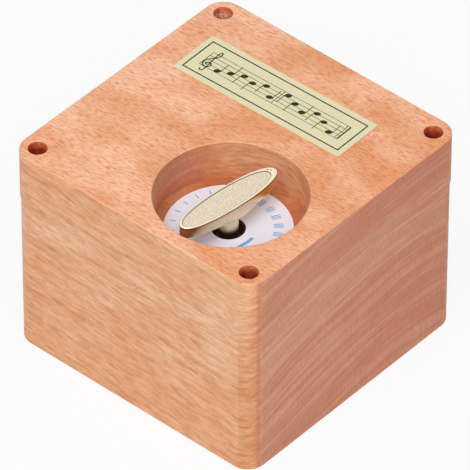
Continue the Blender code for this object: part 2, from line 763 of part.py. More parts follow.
def make_winding_key():
    """The oval head, with a sunk field inside its rim, on a collared stem with a blind socket."""
    key = ease_edges(merge_caps(plate([oval(KEY_LENGTH, KEY_WIDTH)], KEY_THICK)), KEY_EASE)
    place = (SHAFT_X, SHAFT_Y, KEY_BOTTOM)
    turn = (0, 0, KEY_TURN)
    profile = [
        (0, KEY_THICK / 2),
        (KEY_COLLAR_RADIUS, KEY_THICK / 2),
        (KEY_COLLAR_RADIUS, 0),
        (KEY_STEM_RADIUS, -KEY_COLLAR_HEIGHT),
        (KEY_STEM_RADIUS, KEY_STEM_END - KEY_BOTTOM),
        (0, KEY_STEM_END - KEY_BOTTOM),
    ]
    join(key, as_cutter(turned(profile, ROUND_STEPS), place))
    field = plate([oval(KEY_LENGTH - 2 * KEY_END_RIM, KEY_WIDTH - 2 * KEY_RIM)], OVERRUN)
    field_floor = (SHAFT_X, SHAFT_Y, KEY_TOP - KEY_FIELD_DEPTH)
    cut(key, as_cutter(field, field_floor, turn))
    socket = rod(ARBOR_TIP_RADIUS + HOLE_GAP, -OVERRUN, KEY_SOCKET_DEPTH, SMALL_STEPS)
    cut(key, as_cutter(socket, (SHAFT_X, SHAFT_Y, KEY_STEM_END)))
    keep(key, "winding_key", KEY_METAL, place, turn)


# The movement's frame: an empty that turns it over and hangs it under the cover

MOVEMENT = bpy.data.objects.new("movement_frame", None)
PARTS.objects.link(MOVEMENT)
MOVEMENT.location = (SHAFT_X, SHAFT_Y, MOUNTING_FACE)
MOVEMENT.rotation_euler = (0, math.pi, 0)
ALONG_CYLINDER = (-QUARTER, 0, 0)


def movement_screw_places():
    """Places on the bedplate, in the movement's own frame."""
    comb_side = BED_COMB_SIDE - BED_SCREW_EDGE
    return [
        (comb_side, BED_COMB_SCREW_Y),
        (comb_side, BED_FAR_END - BED_SCREW_EDGE),
        (BED_SCREW_EDGE - BED_DRIVE_SIDE, (NEAR_POST_START + INNER_WALL_START) / 2),
    ]


def governor_screw_places():
    reach = GOVERNOR_HEAD_RADIUS + SEAT_GAP
    return [
        (FRAME_SIDE + reach, INNER_WALL_END + reach),
        (GOVERNOR_X + WHEEL_HUB_RADIUS + FACE_GAP, OUTER_WALL_START - reach),
    ]


def comb_screw_places():
    x = COMB_BACK - COMB_LENGTH * COMB_SCREW_BACK_SHARE
    spread = (LAST_NOTE - FIRST_NOTE) * COMB_SCREW_SPREAD_SHARE
    middle = (FIRST_NOTE + LAST_NOTE) / 2
    return [(x, middle - spread), (x, middle + spread)]


def shaft_cutter(tool, along):
    """Puts a helper shape on the cylinder's axis, its own +Z along the cylinder."""
    return as_cutter(tool, (0, along, AXIS_HEIGHT), ALONG_CYLINDER, MOVEMENT)


def make_bedplate():
    outer = rounded_box(
        -BED_DRIVE_SIDE, -BED_SPRING_END, BED_COMB_SIDE, BED_FAR_END, BED_CORNER, CORNER_STEPS // 2
    )
    outlines = [outer, circle(0, 0, ARBOR_RADIUS + RUNNING_GAP, ROUND_STEPS)]
    for x, y in movement_screw_places():
        outlines.append(circle(x, y, MOVEMENT_SHANK_RADIUS + HOLE_GAP))
    for x, y in governor_screw_places():
        outlines.append(circle(x, y, GOVERNOR_SHANK_RADIUS + HOLE_GAP))
    slot = box_points(LEG_THICK / 2 + HOLE_GAP, TAB_WIDTH / 2 + HOLE_GAP)
    for angle in HOUSING_LEG_ANGLES:
        moved = shifted(slot, LEG_RADIUS + LEG_THICK / 2, 0)
        outlines.append(turned_points(moved, angle))
    bed = plate(outlines, BED_THICK)
    for end in (NEAR_POST_END, FAR_POST_END):
        join(bed, as_cutter(bearing_post(), (0, end, 0), (QUARTER, 0, 0), MOVEMENT))
    bore = rod(CYLINDER_SHAFT_RADIUS + RUNNING_GAP, SHAFT_START - OVERRUN, SHAFT_END + OVERRUN)
    cut(bed, shaft_cutter(bore, 0))
    join(bed, as_cutter(comb_pedestal(), (0, 0, BED_THICK / 2), parent=MOVEMENT))
    for x, y in comb_screw_places():
        hole = rod(COMB_SHANK_RADIUS + HOLE_GAP, -COMB_SCREW_LENGTH, OVERRUN, SMALL_STEPS)
        cut(bed, as_cutter(hole, (x, y, PEDESTAL_TOP), parent=MOVEMENT))
    return keep(bed, "bedplate", CAST_ZINC, parent=MOVEMENT)


def bearing_post():
    """An upright with a round head, drawn from the front and as thick as the post."""
    half = POST_WIDTH / 2
    low = BED_THICK / 2
    points = [(-half, low), (half, low)] + arc(0, AXIS_HEIGHT, half, 0, math.pi, SMALL_STEPS // 2)
    return plate([points], POST_THICK)


def comb_root(y):
    """How far from the cylinder's axis a tooth at this place starts."""
    along = (y - FIRST_NOTE) / (LAST_NOTE - FIRST_NOTE)
    return COMB_TIP + COMB_LENGTH * (BASS_SHARE + (TREBLE_SHARE - BASS_SHARE) * along)


def comb_pedestal():
    low = FIRST_NOTE - COMB_END_MARGIN
    high = LAST_NOTE + COMB_END_MARGIN
    points = [
        (comb_root(low) + PEDESTAL_TOP_FACE, low),
        (COMB_BACK, low),
        (COMB_BACK, high),
        (comb_root(high) + PEDESTAL_TOP_FACE, high),
    ]
    return plate([points], PEDESTAL_TOP - BED_THICK / 2)


def make_movement_screws():
    for number, (x, y) in enumerate(movement_screw_places(), 1):
        screw(
            f"movement_screw_{number}",
            MOVEMENT_HEAD_RADIUS,
            MOVEMENT_HEAD_HEIGHT,
            MOVEMENT_SHANK_RADIUS,
            MOVEMENT_SCREW_LENGTH,
            (x, y, BED_THICK + SEAT_GAP),
            MOVEMENT,
        )


# The spring motor


def make_winding_arbor():
    """Threaded tip in the key, journal in the bedplate, core in the spring, pivot in the housing."""
    tip_end = ARBOR_LOW - KEY_SOCKET_DEPTH + SEAT_GAP
    profile = [
        (0, ARBOR_TOP),
        (ARBOR_PIVOT_RADIUS, ARBOR_TOP),
        (ARBOR_PIVOT_RADIUS, ARBOR_SHOULDER),
        (ARBOR_CORE_RADIUS, ARBOR_SHOULDER),
        (ARBOR_CORE_RADIUS, SPRING_LOW),
        (ARBOR_RADIUS, SPRING_LOW),
        (ARBOR_RADIUS, ARBOR_LOW + SEAT_GAP),
        (ARBOR_TIP_RADIUS, ARBOR_LOW + SEAT_GAP),
        (ARBOR_TIP_RADIUS, tip_end + ARBOR_TIP_RADIUS - ARBOR_PIVOT_RADIUS),
        (ARBOR_PIVOT_RADIUS, tip_end),
        (0, tip_end),
    ]
    keep(turned(profile, ROUND_STEPS), "winding_arbor", STEEL, parent=MOVEMENT)


def make_retaining_clip():
    start = CLIP_OPENING / 2
    inner = ARBOR_PIVOT_RADIUS + HOLE_GAP
    outline = arc(0, 0, CLIP_RADIUS, start, TURN - start, SMALL_STEPS)
    outline += arc(0, 0, inner, TURN - start, start, SMALL_STEPS)
    clip = plate([outline], CLIP_THICK)
    keep(clip, "retaining_clip", SPRING_STEEL, (0, 0, CLIP_LOW), parent=MOVEMENT)


def crown_teeth():
    """Radial ridges with sloping flanks, one body each, that the pinion runs on."""
    teeth = bmesh.new()
    inner = DRIVE_RADIUS - DRIVE_FACE_WIDTH / 2
    outer = DRIVE_RADIUS + DRIVE_FACE_WIDTH / 2
    slope = math.tan(PRESSURE_ANGLE)
    root_depth = DRIVE_TOOTH_HEIGHT - DRIVE_ADDENDUM
    half_tip = DRIVE_TOOTH_WIDTH / 2 - DRIVE_ADDENDUM * slope
    half_root = DRIVE_TOOTH_WIDTH / 2 + root_depth * slope
    for i in range(DRIVE_TEETH):
        ridge = bmesh.ops.create_cube(teeth, size=1)["verts"]
        for corner in ridge:
            top = corner.co.z > 0
            half = half_tip if top else half_root
            corner.co.x = outer if corner.co.x > 0 else inner
            corner.co.y = math.copysign(half, corner.co.y)
            corner.co.z = DRIVE_TIPS if top else DRIVE_TOP - SEAT_GAP
            turn_corner(corner, TURN * (i + 1 / 2) / DRIVE_TEETH)
    return from_bmesh("ridges", teeth)


def make_drive_gear():
    bore = ARBOR_RADIUS + RUNNING_GAP
    pocket = ARBOR_RADIUS + 2 * (CLUTCH_CLEARANCE + CLUTCH_WIRE_RADIUS)
    profile = [
        (DRIVE_RIM, DRIVE_TOP),
        (DRIVE_RIM, DRIVE_LOW),
        (bore, DRIVE_LOW),
        (bore, DRIVE_TOP - DRIVE_HUB_RECESS),
        (pocket, DRIVE_TOP - DRIVE_HUB_RECESS),
        (pocket, DRIVE_TOP),
    ]
    gear = turned(profile, WIDE_STEPS, closed=True)
    join(gear, as_cutter(crown_teeth(), parent=MOVEMENT))
    keep(gear, "drive_gear", BRASS, parent=MOVEMENT)


def make_clutch_spring():
    """A coil that grips the arbor one way and slips on it the other way."""
    radius = ARBOR_RADIUS + CLUTCH_CLEARANCE + CLUTCH_WIRE_RADIUS
    low = DRIVE_TOP - DRIVE_HUB_RECESS + CLUTCH_WIRE_RADIUS + SEAT_GAP
    path = []
    for i in range(int(CLUTCH_TURNS * THREAD_STEPS) + 1):
        a = TURN * i / THREAD_STEPS
        rise = CLUTCH_PITCH * i / THREAD_STEPS
        path.append((radius * math.cos(a), radius * math.sin(a), low + rise))
    keep(tube(path, CLUTCH_WIRE_RADIUS, 0), "clutch_spring", SPRING_STEEL, parent=MOVEMENT)


def make_spring_housing():
    """A pressed cup, open towards the drive gear, on four legs staked through the bedplate."""
    inner = HOUSING_RADIUS - HOUSING_WALL
    hole = ARBOR_PIVOT_RADIUS + RUNNING_GAP
    profile = [
        (hole, HOUSING_TOP),
        (HOUSING_RADIUS - HOUSING_CROWN, HOUSING_TOP),
        (HOUSING_RADIUS, HOUSING_TOP - HOUSING_CROWN),
        (HOUSING_RADIUS, HOUSING_LOW),
        (inner, HOUSING_LOW),
        (inner, HOUSING_TOP - HOUSING_CROWN),
        (inner - HOUSING_CROWN + HOUSING_WALL / 2, HOUSING_TOP - HOUSING_WALL),
        (hole, HOUSING_TOP - HOUSING_WALL),
    ]
    cup = turned(profile, WIDE_STEPS, closed=True)
    for angle in HOUSING_LEG_ANGLES:
        leg = join(bent_leg(), as_cutter(leg_tab(), (0, 0, 0), (0, 0, angle), MOVEMENT))
        join(cup, as_cutter(leg, (0, 0, 0), (0, 0, angle), MOVEMENT))
    keep(cup, "spring_housing", BRASS, parent=MOVEMENT)


def bent_leg():
    """A strip that runs out from the cup and bends down to the bedplate, drawn from its side."""
    start = HOUSING_RADIUS - HOUSING_WALL / 2
    end = LEG_RADIUS + LEG_THICK
    low = HOUSING_LOW + LEG_RELIEF
    foot = BED_THICK + SEAT_GAP
    outline = [
        (start, low),
        (LEG_RADIUS, low),
        (LEG_RADIUS, foot),
        (end, foot),
        (end, low + LEG_THICK),
        (start, low + LEG_THICK),
    ]
    leg = plate([outline], LEG_WIDTH)
    for corner in leg.data.vertices:
        out, up, across = corner.co
        corner.co = (out, LEG_WIDTH / 2 - across, up)
    return leg


def leg_tab():
    """The leg's narrower end, which goes through its slot in the bedplate."""
    half = TAB_WIDTH / 2
    low = BED_THICK - TAB_REACH
    inside = LEG_RADIUS + LEG_RELIEF
    outside = LEG_RADIUS + LEG_THICK - LEG_RELIEF
    return block((inside, -half, low), (outside, half, (BED_THICK + HOUSING_LOW) / 2))


def make_housing_lid():
    outer = HOUSING_RADIUS - HOUSING_WALL - HOLE_GAP
    inner = ARBOR_RADIUS + HOLE_GAP
    ring = [circle(0, 0, outer, ROUND_STEPS), circle(0, 0, inner, ROUND_STEPS)]
    keep(plate(ring, LID_THICK), "housing_lid", STEEL, (0, 0, LID_LOW), parent=MOVEMENT)


def make_mainspring():
    """A flat strip wound in a spiral from the arbor's core to the housing's wall."""
    start = ARBOR_CORE_RADIUS + FACE_GAP
    end = HOUSING_RADIUS - HOUSING_WALL - FACE_GAP - SPRING_THICK
    steps = SPRING_TURNS * SPRING_STEPS
    inside = []
    outside = []
    for i in range(steps + 1):
        a = TURN * i / SPRING_STEPS
        radius = start + (end - start) * i / steps
        far = radius + SPRING_THICK
        inside.append((radius * math.cos(a), radius * math.sin(a)))
        outside.append((far * math.cos(a), far * math.sin(a)))
    strip = plate([inside + outside[::-1]], SPRING_WIDTH)
    keep(strip, "mainspring", SPRING_STEEL, (0, 0, SPRING_LOW + SEAT_GAP), parent=MOVEMENT)


# The pin cylinder


def make_cylinder_shaft():
    shaft = rod(CYLINDER_SHAFT_RADIUS, 0, SHAFT_END - SHAFT_START, SMALL_STEPS)
    place = (0, SHAFT_START, AXIS_HEIGHT)
    keep(shaft, "cylinder_shaft", STEEL, place, ALONG_CYLINDER, MOVEMENT)


def make_cylinder_pinion():
    outline = gear_outline(PINION_TEETH, DRIVE_MODULE, PINION_BACKLASH, curved=True)
    bore = circle(0, 0, CYLINDER_SHAFT_RADIUS + HOLE_GAP)
    pinion = plate([outline, bore], PINION_FACE_WIDTH)
    place = (0, PINION_START, AXIS_HEIGHT)
    keep(pinion, "cylinder_pinion", BRASS, place, ALONG_CYLINDER, MOVEMENT)


def pin_places():
    """(angle, note) of each pin. The stride shares no factor with the notes, so the pins spread out."""
    for i in range(PIN_COUNT):
        note = (i * NOTE_STRIDE + i // PINS_A_SHIFT) % NOTES
        yield TURN * i / PIN_COUNT, note


def cylinder_pins():
    pins = bmesh.new()
    foot = CYLINDER_RADIUS - CYLINDER_WALL / 2
    for angle, note in pin_places():
        made = bmesh.ops.create_cone(
            pins,
            cap_ends=True,
            segments=PIN_SIDES,
            radius1=PIN_FOOT_RADIUS,
            radius2=PIN_TIP_RADIUS,
            depth=PIN_REACH - foot,
        )["verts"]
        along = FIRST_NOTE + (note + 1 / 2) * NOTE_PITCH - CYLINDER_START
        for corner in made:
            across, up, out = corner.co
            corner.co = (out + (PIN_REACH + foot) / 2, across, up + along)
            turn_corner(corner, angle)
    return from_bmesh("pins", pins)


def make_cylinder():
    inner = CYLINDER_RADIUS - CYLINDER_WALL
    profile = [
        (CYLINDER_RADIUS, CYLINDER_LENGTH),
        (CYLINDER_RADIUS, 0),
        (inner, 0),
        (inner, CYLINDER_LENGTH),
    ]
    drum = turned(profile, WIDE_STEPS, closed=True)
    join(drum, shaft_cutter(cylinder_pins(), CYLINDER_START))
    place = (0, CYLINDER_START, AXIS_HEIGHT)
    keep(drum, "cylinder", BRASS, place, ALONG_CYLINDER, MOVEMENT)


def make_cylinder_end_cap():
    outer = CYLINDER_RADIUS - CYLINDER_WALL - HOLE_GAP
    inner = CYLINDER_SHAFT_RADIUS + HOLE_GAP
    ring = [circle(0, 0, outer, ROUND_STEPS), circle(0, 0, inner, SMALL_STEPS)]
    place = (0, CYLINDER_START + SEAT_GAP, AXIS_HEIGHT)
    keep(plate(ring, CAP_THICK), "cylinder_end_cap", NYLON, place, ALONG_CYLINDER, MOVEMENT)


def make_cylinder_gear():
    """The large gear, with a boss that plugs the cylinder's far end."""
    outline = gear_outline(CYLINDER_GEAR_TEETH, TRAIN_MODULE, TRAIN_BACKLASH)
    gear = plate([outline], GEAR_THICK)
    place = (0, GEAR_START, AXIS_HEIGHT)
    boss = rod(CYLINDER_RADIUS - CYLINDER_WALL - HOLE_GAP, -FACE_GAP - CAP_THICK, GEAR_THICK / 2)
    join(gear, shaft_cutter(boss, GEAR_START))
    bore = rod(CYLINDER_SHAFT_RADIUS + HOLE_GAP, -CYLINDER_LENGTH, CYLINDER_LENGTH, SMALL_STEPS)
    cut(gear, shaft_cutter(bore, GEAR_START))
    keep(gear, "cylinder_gear", NYLON, place, ALONG_CYLINDER, MOVEMENT)


# The comb


def comb_outline():
    """Seen from above: straight back and ends, and teeth that get shorter towards the treble."""
    low = FIRST_NOTE - COMB_END_MARGIN
    high = LAST_NOTE + COMB_END_MARGIN
    points = [(comb_root(low), low), (COMB_BACK, low), (COMB_BACK, high), (comb_root(high), high)]
    for note in reversed(range(NOTES)):
        near = FIRST_NOTE + note * NOTE_PITCH + TOOTH_SLIT / 2
        far = near + NOTE_PITCH - TOOTH_SLIT
        root = comb_root((near + far) / 2)
        points += [(root, far), (COMB_TIP, far), (COMB_TIP, near), (root, near)]
    return points


def make_comb():
    outlines = [comb_outline()]
    for x, y in comb_screw_places():
        outlines.append(circle(x, y, COMB_SHANK_RADIUS + HOLE_GAP))
    comb = plate(outlines, COMB_THICK)
    for note in range(WEIGHTED_NOTES):
        share = 1 - WEIGHT_TAPER_SHARE * note / WEIGHTED_NOTES
        near = FIRST_NOTE + note * NOTE_PITCH + TOOTH_SLIT / 2 + NOTE_PITCH * WEIGHT_SIDE_SHARE
        far = near + NOTE_PITCH - TOOTH_SLIT - 2 * NOTE_PITCH * WEIGHT_SIDE_SHARE
        start = COMB_TIP + WEIGHT_INSET
        weight = block(
            (start, near, -WEIGHT_DEPTH * share),
            (start + COMB_LENGTH * WEIGHT_LENGTH_SHARE * share, far, WEIGHT_BITE),
        )
        join(comb, as_cutter(weight, (0, 0, COMB_LOW), parent=MOVEMENT))
    keep(comb, "comb", STEEL, (0, 0, COMB_LOW), parent=MOVEMENT)


def make_comb_screws():
    for number, (x, y) in enumerate(comb_screw_places(), 1):
        screw(
            f"comb_screw_{number}",
            COMB_HEAD_RADIUS,
            COMB_HEAD_HEIGHT,
            COMB_SHANK_RADIUS,
            COMB_SCREW_LENGTH,
            (x, y, COMB_TOP + SEAT_GAP),
            MOVEMENT,
            STEEL,
        )


# The governor


def make_governor_frame():
    """Sheet bracket: a foot on the bedplate, two walls for the wheel's pin and an arm over the worm."""
    narrow = -PIN_REACH - FACE_GAP
    worm_side = WORM_Y - WORM_REACH
    foot = [
        (FRAME_SIDE, INNER_WALL_START),
        (narrow, INNER_WALL_START),
        (narrow, worm_side),
        (FRAME_ARM, worm_side),
        (FRAME_ARM, OUTER_WALL_END),
        (FRAME_SIDE, OUTER_WALL_END),
    ]
    outlines = [foot, circle(WORM_X, WORM_Y, WORM_PIVOT_RADIUS + RUNNING_GAP)]
    for x, y in governor_screw_places():
        outlines.append(circle(x, y, GOVERNOR_SHANK_RADIUS + HOLE_GAP))
    frame = plate(outlines, FRAME_SHEET)
    low = FRAME_LOW + FRAME_SHEET / 2
    inner = block(
        (FRAME_SIDE + FRAME_ARM_MARGIN, INNER_WALL_START + FRAME_RELIEF, low),
        (narrow - FRAME_RELIEF, INNER_WALL_END, AXIS_HEIGHT + FRAME_WALL_ABOVE),
    )
    outer = block(
        (FRAME_SIDE + FRAME_RELIEF, OUTER_WALL_START, low),
        (FRAME_ARM - FRAME_RELIEF, OUTER_WALL_END - FRAME_RELIEF, BRIDGE_TOP + FRAME_RELIEF),
    )
    bridge = block(
        (WORM_X - FRAME_ARM_MARGIN + 2 * FRAME_RELIEF, worm_side, BRIDGE_LOW),
        (FRAME_ARM - 2 * FRAME_RELIEF, OUTER_WALL_END - FRAME_SHEET / 2, BRIDGE_TOP),
    )
    for wall in (inner, outer, bridge):
        join(frame, as_cutter(wall, parent=MOVEMENT))
    pin_hole = rod(
        GOVERNOR_ARBOR_RADIUS + RUNNING_GAP,
        INNER_WALL_START - OVERRUN,
        OUTER_WALL_END + OVERRUN,
        SMALL_STEPS,
    )
    cut(frame, as_cutter(pin_hole, (GOVERNOR_X, 0, AXIS_HEIGHT), ALONG_CYLINDER, MOVEMENT))
    pivot_hole = WORM_PIVOT_RADIUS + RUNNING_GAP
    worm_hole = rod(pivot_hole, BRIDGE_LOW - OVERRUN, BRIDGE_TOP + OVERRUN, SMALL_STEPS)
    cut(frame, as_cutter(worm_hole, (WORM_X, WORM_Y, 0), parent=MOVEMENT))
    keep(frame, "governor_frame", STEEL, (0, 0, FRAME_LOW), parent=MOVEMENT)


def make_governor_screws():
    for number, (x, y) in enumerate(governor_screw_places(), 1):
        screw(
            f"governor_screw_{number}",
            GOVERNOR_HEAD_RADIUS,
            GOVERNOR_HEAD_HEIGHT,
            GOVERNOR_SHANK_RADIUS,
            GOVERNOR_SCREW_LENGTH,
            (x, y, FRAME_FLOOR + SEAT_GAP),
            MOVEMENT,
            STEEL,
        )


def make_governor_wheel():
    """The pinion that the cylinder gear drives and the worm wheel, moulded as one."""
    half_space = math.pi / GOVERNOR_PINION_TEETH
    pinion_outline = gear_outline(
        GOVERNOR_PINION_TEETH, TRAIN_MODULE, TRAIN_BACKLASH, half_space, curved=True
    )
    wheel_outline = gear_outline(
        WORM_WHEEL_TEETH, TRAIN_MODULE, WHEEL_BACKLASH, addendum=WHEEL_ADDENDUM_SHARE
    )
    wheel = plate([wheel_outline], WORM_WHEEL_THICK)
    lead = WORM_PITCH / (TURN * WORM_PITCH_RADIUS)
    for corner in wheel.data.vertices:
        turn_corner(corner, lead * (corner.co.z - WORM_WHEEL_THICK / 2) / WORM_WHEEL_RADIUS)
    pinion = plate([pinion_outline], GOVERNOR_PINION_THICK)
    low = GOVERNOR_PINION_END - SEAT_GAP
    hub = rod(WHEEL_HUB_RADIUS, low, WORM_WHEEL_START + SEAT_GAP, SMALL_STEPS)
    bore = rod(GOVERNOR_ARBOR_RADIUS + HOLE_GAP, INNER_WALL_START, OUTER_WALL_END, SMALL_STEPS)
    axis = (GOVERNOR_X, 0, AXIS_HEIGHT)
    start = (GOVERNOR_X, GOVERNOR_PINION_START, AXIS_HEIGHT)
    join(wheel, as_cutter(pinion, start, ALONG_CYLINDER, MOVEMENT))
    join(wheel, as_cutter(hub, axis, ALONG_CYLINDER, MOVEMENT))
    cut(wheel, as_cutter(bore, axis, ALONG_CYLINDER, MOVEMENT))
    place = (GOVERNOR_X, WORM_WHEEL_START, AXIS_HEIGHT)
    keep(wheel, "governor_wheel", NYLON, place, ALONG_CYLINDER, MOVEMENT)


def make_governor_arbor():
    pin = rod(GOVERNOR_ARBOR_RADIUS, 0, OUTER_WALL_END - INNER_WALL_START, SMALL_STEPS)
    place = (GOVERNOR_X, INNER_WALL_START, AXIS_HEIGHT)
    keep(pin, "governor_arbor", STEEL, place, ALONG_CYLINDER, MOVEMENT)


def make_worm_shaft():
    """A slim shaft between the bracket's foot and arm, with a thread of one start."""
    half = WORM_PITCH * WORM_TURNS / 2
    profile = [
        (0, FAN_TOP - SEAT_GAP),
        (WORM_PIVOT_RADIUS, FAN_TOP - SEAT_GAP),
        (WORM_PIVOT_RADIUS, BRIDGE_LOW - SEAT_GAP),
        (WORM_CORE_RADIUS, BRIDGE_LOW - SEAT_GAP),
        (WORM_CORE_RADIUS, FRAME_FLOOR + SEAT_GAP),
        (WORM_PIVOT_RADIUS, FRAME_FLOOR + SEAT_GAP),
        (WORM_PIVOT_RADIUS, BED_THICK + SEAT_GAP),
        (0, BED_THICK + SEAT_GAP),
    ]
    shaft = turned(profile, HOLE_STEPS)
    path = []
    for i in range(WORM_TURNS * THREAD_STEPS + 1):
        a = TURN * i / THREAD_STEPS
        rise = WORM_PITCH * i / THREAD_STEPS - half
        path.append((WORM_THREAD_CENTRE * math.cos(a), WORM_THREAD_CENTRE * math.sin(a), rise))
    thread = tube(path, WORM_THREAD_RADIUS, 0)
    join(shaft, as_cutter(thread, (WORM_X, WORM_Y, AXIS_HEIGHT), parent=MOVEMENT))
    keep(shaft, "worm_shaft", STEEL, (WORM_X, WORM_Y, 0), parent=MOVEMENT)


def make_fan():
    half_span = FAN_SPAN / 2
    half_thick = FAN_THICK / 2
    fan = rod(FAN_HUB_RADIUS, 0, FAN_GRIP, SMALL_STEPS)
    place = (WORM_X, WORM_Y, FAN_LOW)
    blades = block((-half_span, -half_thick, 0), (half_span, half_thick, FAN_HEIGHT - SEAT_GAP))
    join(fan, as_cutter(blades, place, parent=MOVEMENT))
    bore = rod(WORM_PIVOT_RADIUS + RUNNING_GAP, -OVERRUN, FAN_HEIGHT, SMALL_STEPS)
    cut(fan, as_cutter(bore, place, parent=MOVEMENT))
    keep(fan, "fan", NYLON, place, parent=MOVEMENT)


def main():
    make_box_body()
    make_cover_plate()
    make_cover_screws()
    make_labels()
    make_winding_key()
    make_bedplate()
    make_movement_screws()
    make_winding_arbor()
    make_retaining_clip()
    make_drive_gear()
    make_clutch_spring()
    make_spring_housing()
    make_housing_lid()
    make_mainspring()
    make_cylinder_shaft()
    make_cylinder_pinion()
    make_cylinder()
    make_cylinder_end_cap()
    make_cylinder_gear()
    make_comb()
    make_comb_screws()
    make_governor_frame()
    make_governor_screws()
    make_governor_wheel()
    make_governor_arbor()
    make_worm_shaft()
    make_fan()


main()
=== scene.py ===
# %% [markdown]
# # A wooden music box
#
# The object is a beech block, routed hollow and closed by a thick screwed cover. An oval metal
# key turns in a round recess, over a paper disc, and a paper label lies on the cover. Inside, a
# small comb movement hangs from the cover.
#
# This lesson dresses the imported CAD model. The CAD gives every place and every joint, and each
# cell below gives one piece or one finish. All lengths are in metres, +Z is up, and the origin
# is the middle of the face that the box lies on.

import json
import math

import bmesh
import bpy
import numpy as np
from mathutils import Matrix, Vector


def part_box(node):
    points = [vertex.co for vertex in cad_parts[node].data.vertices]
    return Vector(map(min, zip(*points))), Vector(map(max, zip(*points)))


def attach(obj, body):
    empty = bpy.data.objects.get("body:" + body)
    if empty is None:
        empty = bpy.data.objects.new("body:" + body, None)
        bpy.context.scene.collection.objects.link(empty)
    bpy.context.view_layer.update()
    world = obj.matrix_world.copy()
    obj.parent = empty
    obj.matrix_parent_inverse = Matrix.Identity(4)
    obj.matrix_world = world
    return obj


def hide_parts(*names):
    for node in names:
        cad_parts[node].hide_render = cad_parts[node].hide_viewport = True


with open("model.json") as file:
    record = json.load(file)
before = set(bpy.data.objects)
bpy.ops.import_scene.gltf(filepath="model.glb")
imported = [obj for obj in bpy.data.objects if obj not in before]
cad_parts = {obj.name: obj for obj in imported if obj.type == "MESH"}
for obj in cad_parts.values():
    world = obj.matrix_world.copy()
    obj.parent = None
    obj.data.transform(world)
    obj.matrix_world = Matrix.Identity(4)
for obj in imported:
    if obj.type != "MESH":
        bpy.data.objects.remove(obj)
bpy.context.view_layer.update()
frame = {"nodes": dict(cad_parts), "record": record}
MM = 0.001

# %% [markdown]
# ## The camera
#
# The photograph looks down on one corner of the box from about 42 degrees, through a long lens
# from far away, so that the upright edges stay nearly parallel. A camera could be turned by eye
# until the corners meet. Here its direction, distance and lens are numbers that were fitted to
# the box's corners once, which makes every render land on the same pixels.

# %% Place the camera
AZIMUTH = math.radians(41.186)
ELEVATION = math.radians(41.567)
ROLL = math.radians(0.165)
DISTANCE = 1588.6 * MM
AIM_RIGHT = -0.12 * MM
AIM_UP = 18.78 * MM
LENS = 586.03

back = Vector(
    (
        math.sin(AZIMUTH) * math.cos(ELEVATION),
        -math.cos(AZIMUTH) * math.cos(ELEVATION),
        math.sin(ELEVATION),
    )
)
right = Vector((math.cos(AZIMUTH), math.sin(AZIMUTH), 0))
up = back.cross(right)
camera = bpy.data.objects.new("camera", bpy.data.cameras.new("camera"))
bpy.context.scene.collection.objects.link(camera)
rolled_right = right * math.cos(ROLL) + up * math.sin(ROLL)
rolled_up = up * math.cos(ROLL) - right * math.sin(ROLL)
turn = Matrix((rolled_right, rolled_up, back)).transposed().to_4x4()
camera.matrix_world = Matrix.Translation(back * DISTANCE + right * AIM_RIGHT + up * AIM_UP) @ turn
camera.data.lens = LENS
camera.data.sensor_width = 36
camera.data.clip_end = 20
bpy.context.scene.camera = camera
bpy.context.scene.view_settings.view_transform = "Standard"
print("camera at", [round(v, 4) for v in camera.matrix_world.translation])

# %% [markdown]
# ## Small helpers for materials
#
# A node material is a graph, and a graph is easier to read when each line of code makes one node
# and says at once what feeds it. `add` makes a node and takes its inputs by name: a value is
# written on the socket, and another node's output is linked to it. The others are short names
# for the nodes that wood, metal and paper need most.

# %% Node helpers
def add(tree, kind, inputs=None, **settings):
    """Makes one node. Each input is a plain value or another node's output."""
    made = tree.nodes.new(kind)
    for key, value in settings.items():
        setattr(made, key, value)
    for key, value in (inputs or {}).items():
        if isinstance(value, bpy.types.NodeSocket):
            tree.links.new(value, made.inputs[key])
        else:
            made.inputs[key].default_value = value
    return made


def calc(tree, operation, first, second=0.0, clamp=False):
    """Maths on plain numbers."""
    step = add(tree, "ShaderNodeMath", {0: first, 1: second}, operation=operation)
    step.use_clamp = clamp
    return step.outputs[0]


def vectors(tree, operation, first, second=None):
    """Vector maths. Lengths, distances and dot products come out as plain numbers."""
    inputs = {0: first} if second is None else {0: first, 1: second}
    step = add(tree, "ShaderNodeVectorMath", inputs, operation=operation)
    return step.outputs["Value" if operation in ("LENGTH", "DISTANCE", "DOT_PRODUCT") else "Vector"]


def axes(tree, vector):
    """The X, Y and Z of a vector, by name."""
    return add(tree, "ShaderNodeSeparateXYZ", {0: vector}).outputs


def joined(tree, x, y, z):
    """A vector from three numbers."""
    return add(tree, "ShaderNodeCombineXYZ", {0: x, 1: y, 2: z}).outputs[0]


def blend(tree, share, low, high, mode="MIX"):
    """Mixes two colours by a share from 0 to 1."""
    inputs = {0: share}
    for place, value in ((6, low), (7, high)):
        inputs[place] = (*value, 1) if isinstance(value, tuple) else value
    return add(tree, "ShaderNodeMix", inputs, data_type="RGBA", blend_type=mode).outputs[2]


def spread(tree, value, low, high, out_low=0.0, out_high=1.0):
    """Stretches the values between low and high to a new range, and cuts off the rest."""
    ends = {"From Min": low, "From Max": high, "To Min": out_low, "To Max": out_high}
    return add(tree, "ShaderNodeMapRange", {"Value": value, **ends}).outputs["Result"]


def millimetres(tree):
    """Object coordinates in millimetres, so that every size below is a real size."""
    place = add(tree, "ShaderNodeTexCoord").outputs["Object"]
    inputs = {0: place, "Scale": 1 / MM}
    return add(tree, "ShaderNodeVectorMath", inputs, operation="SCALE").outputs["Vector"]


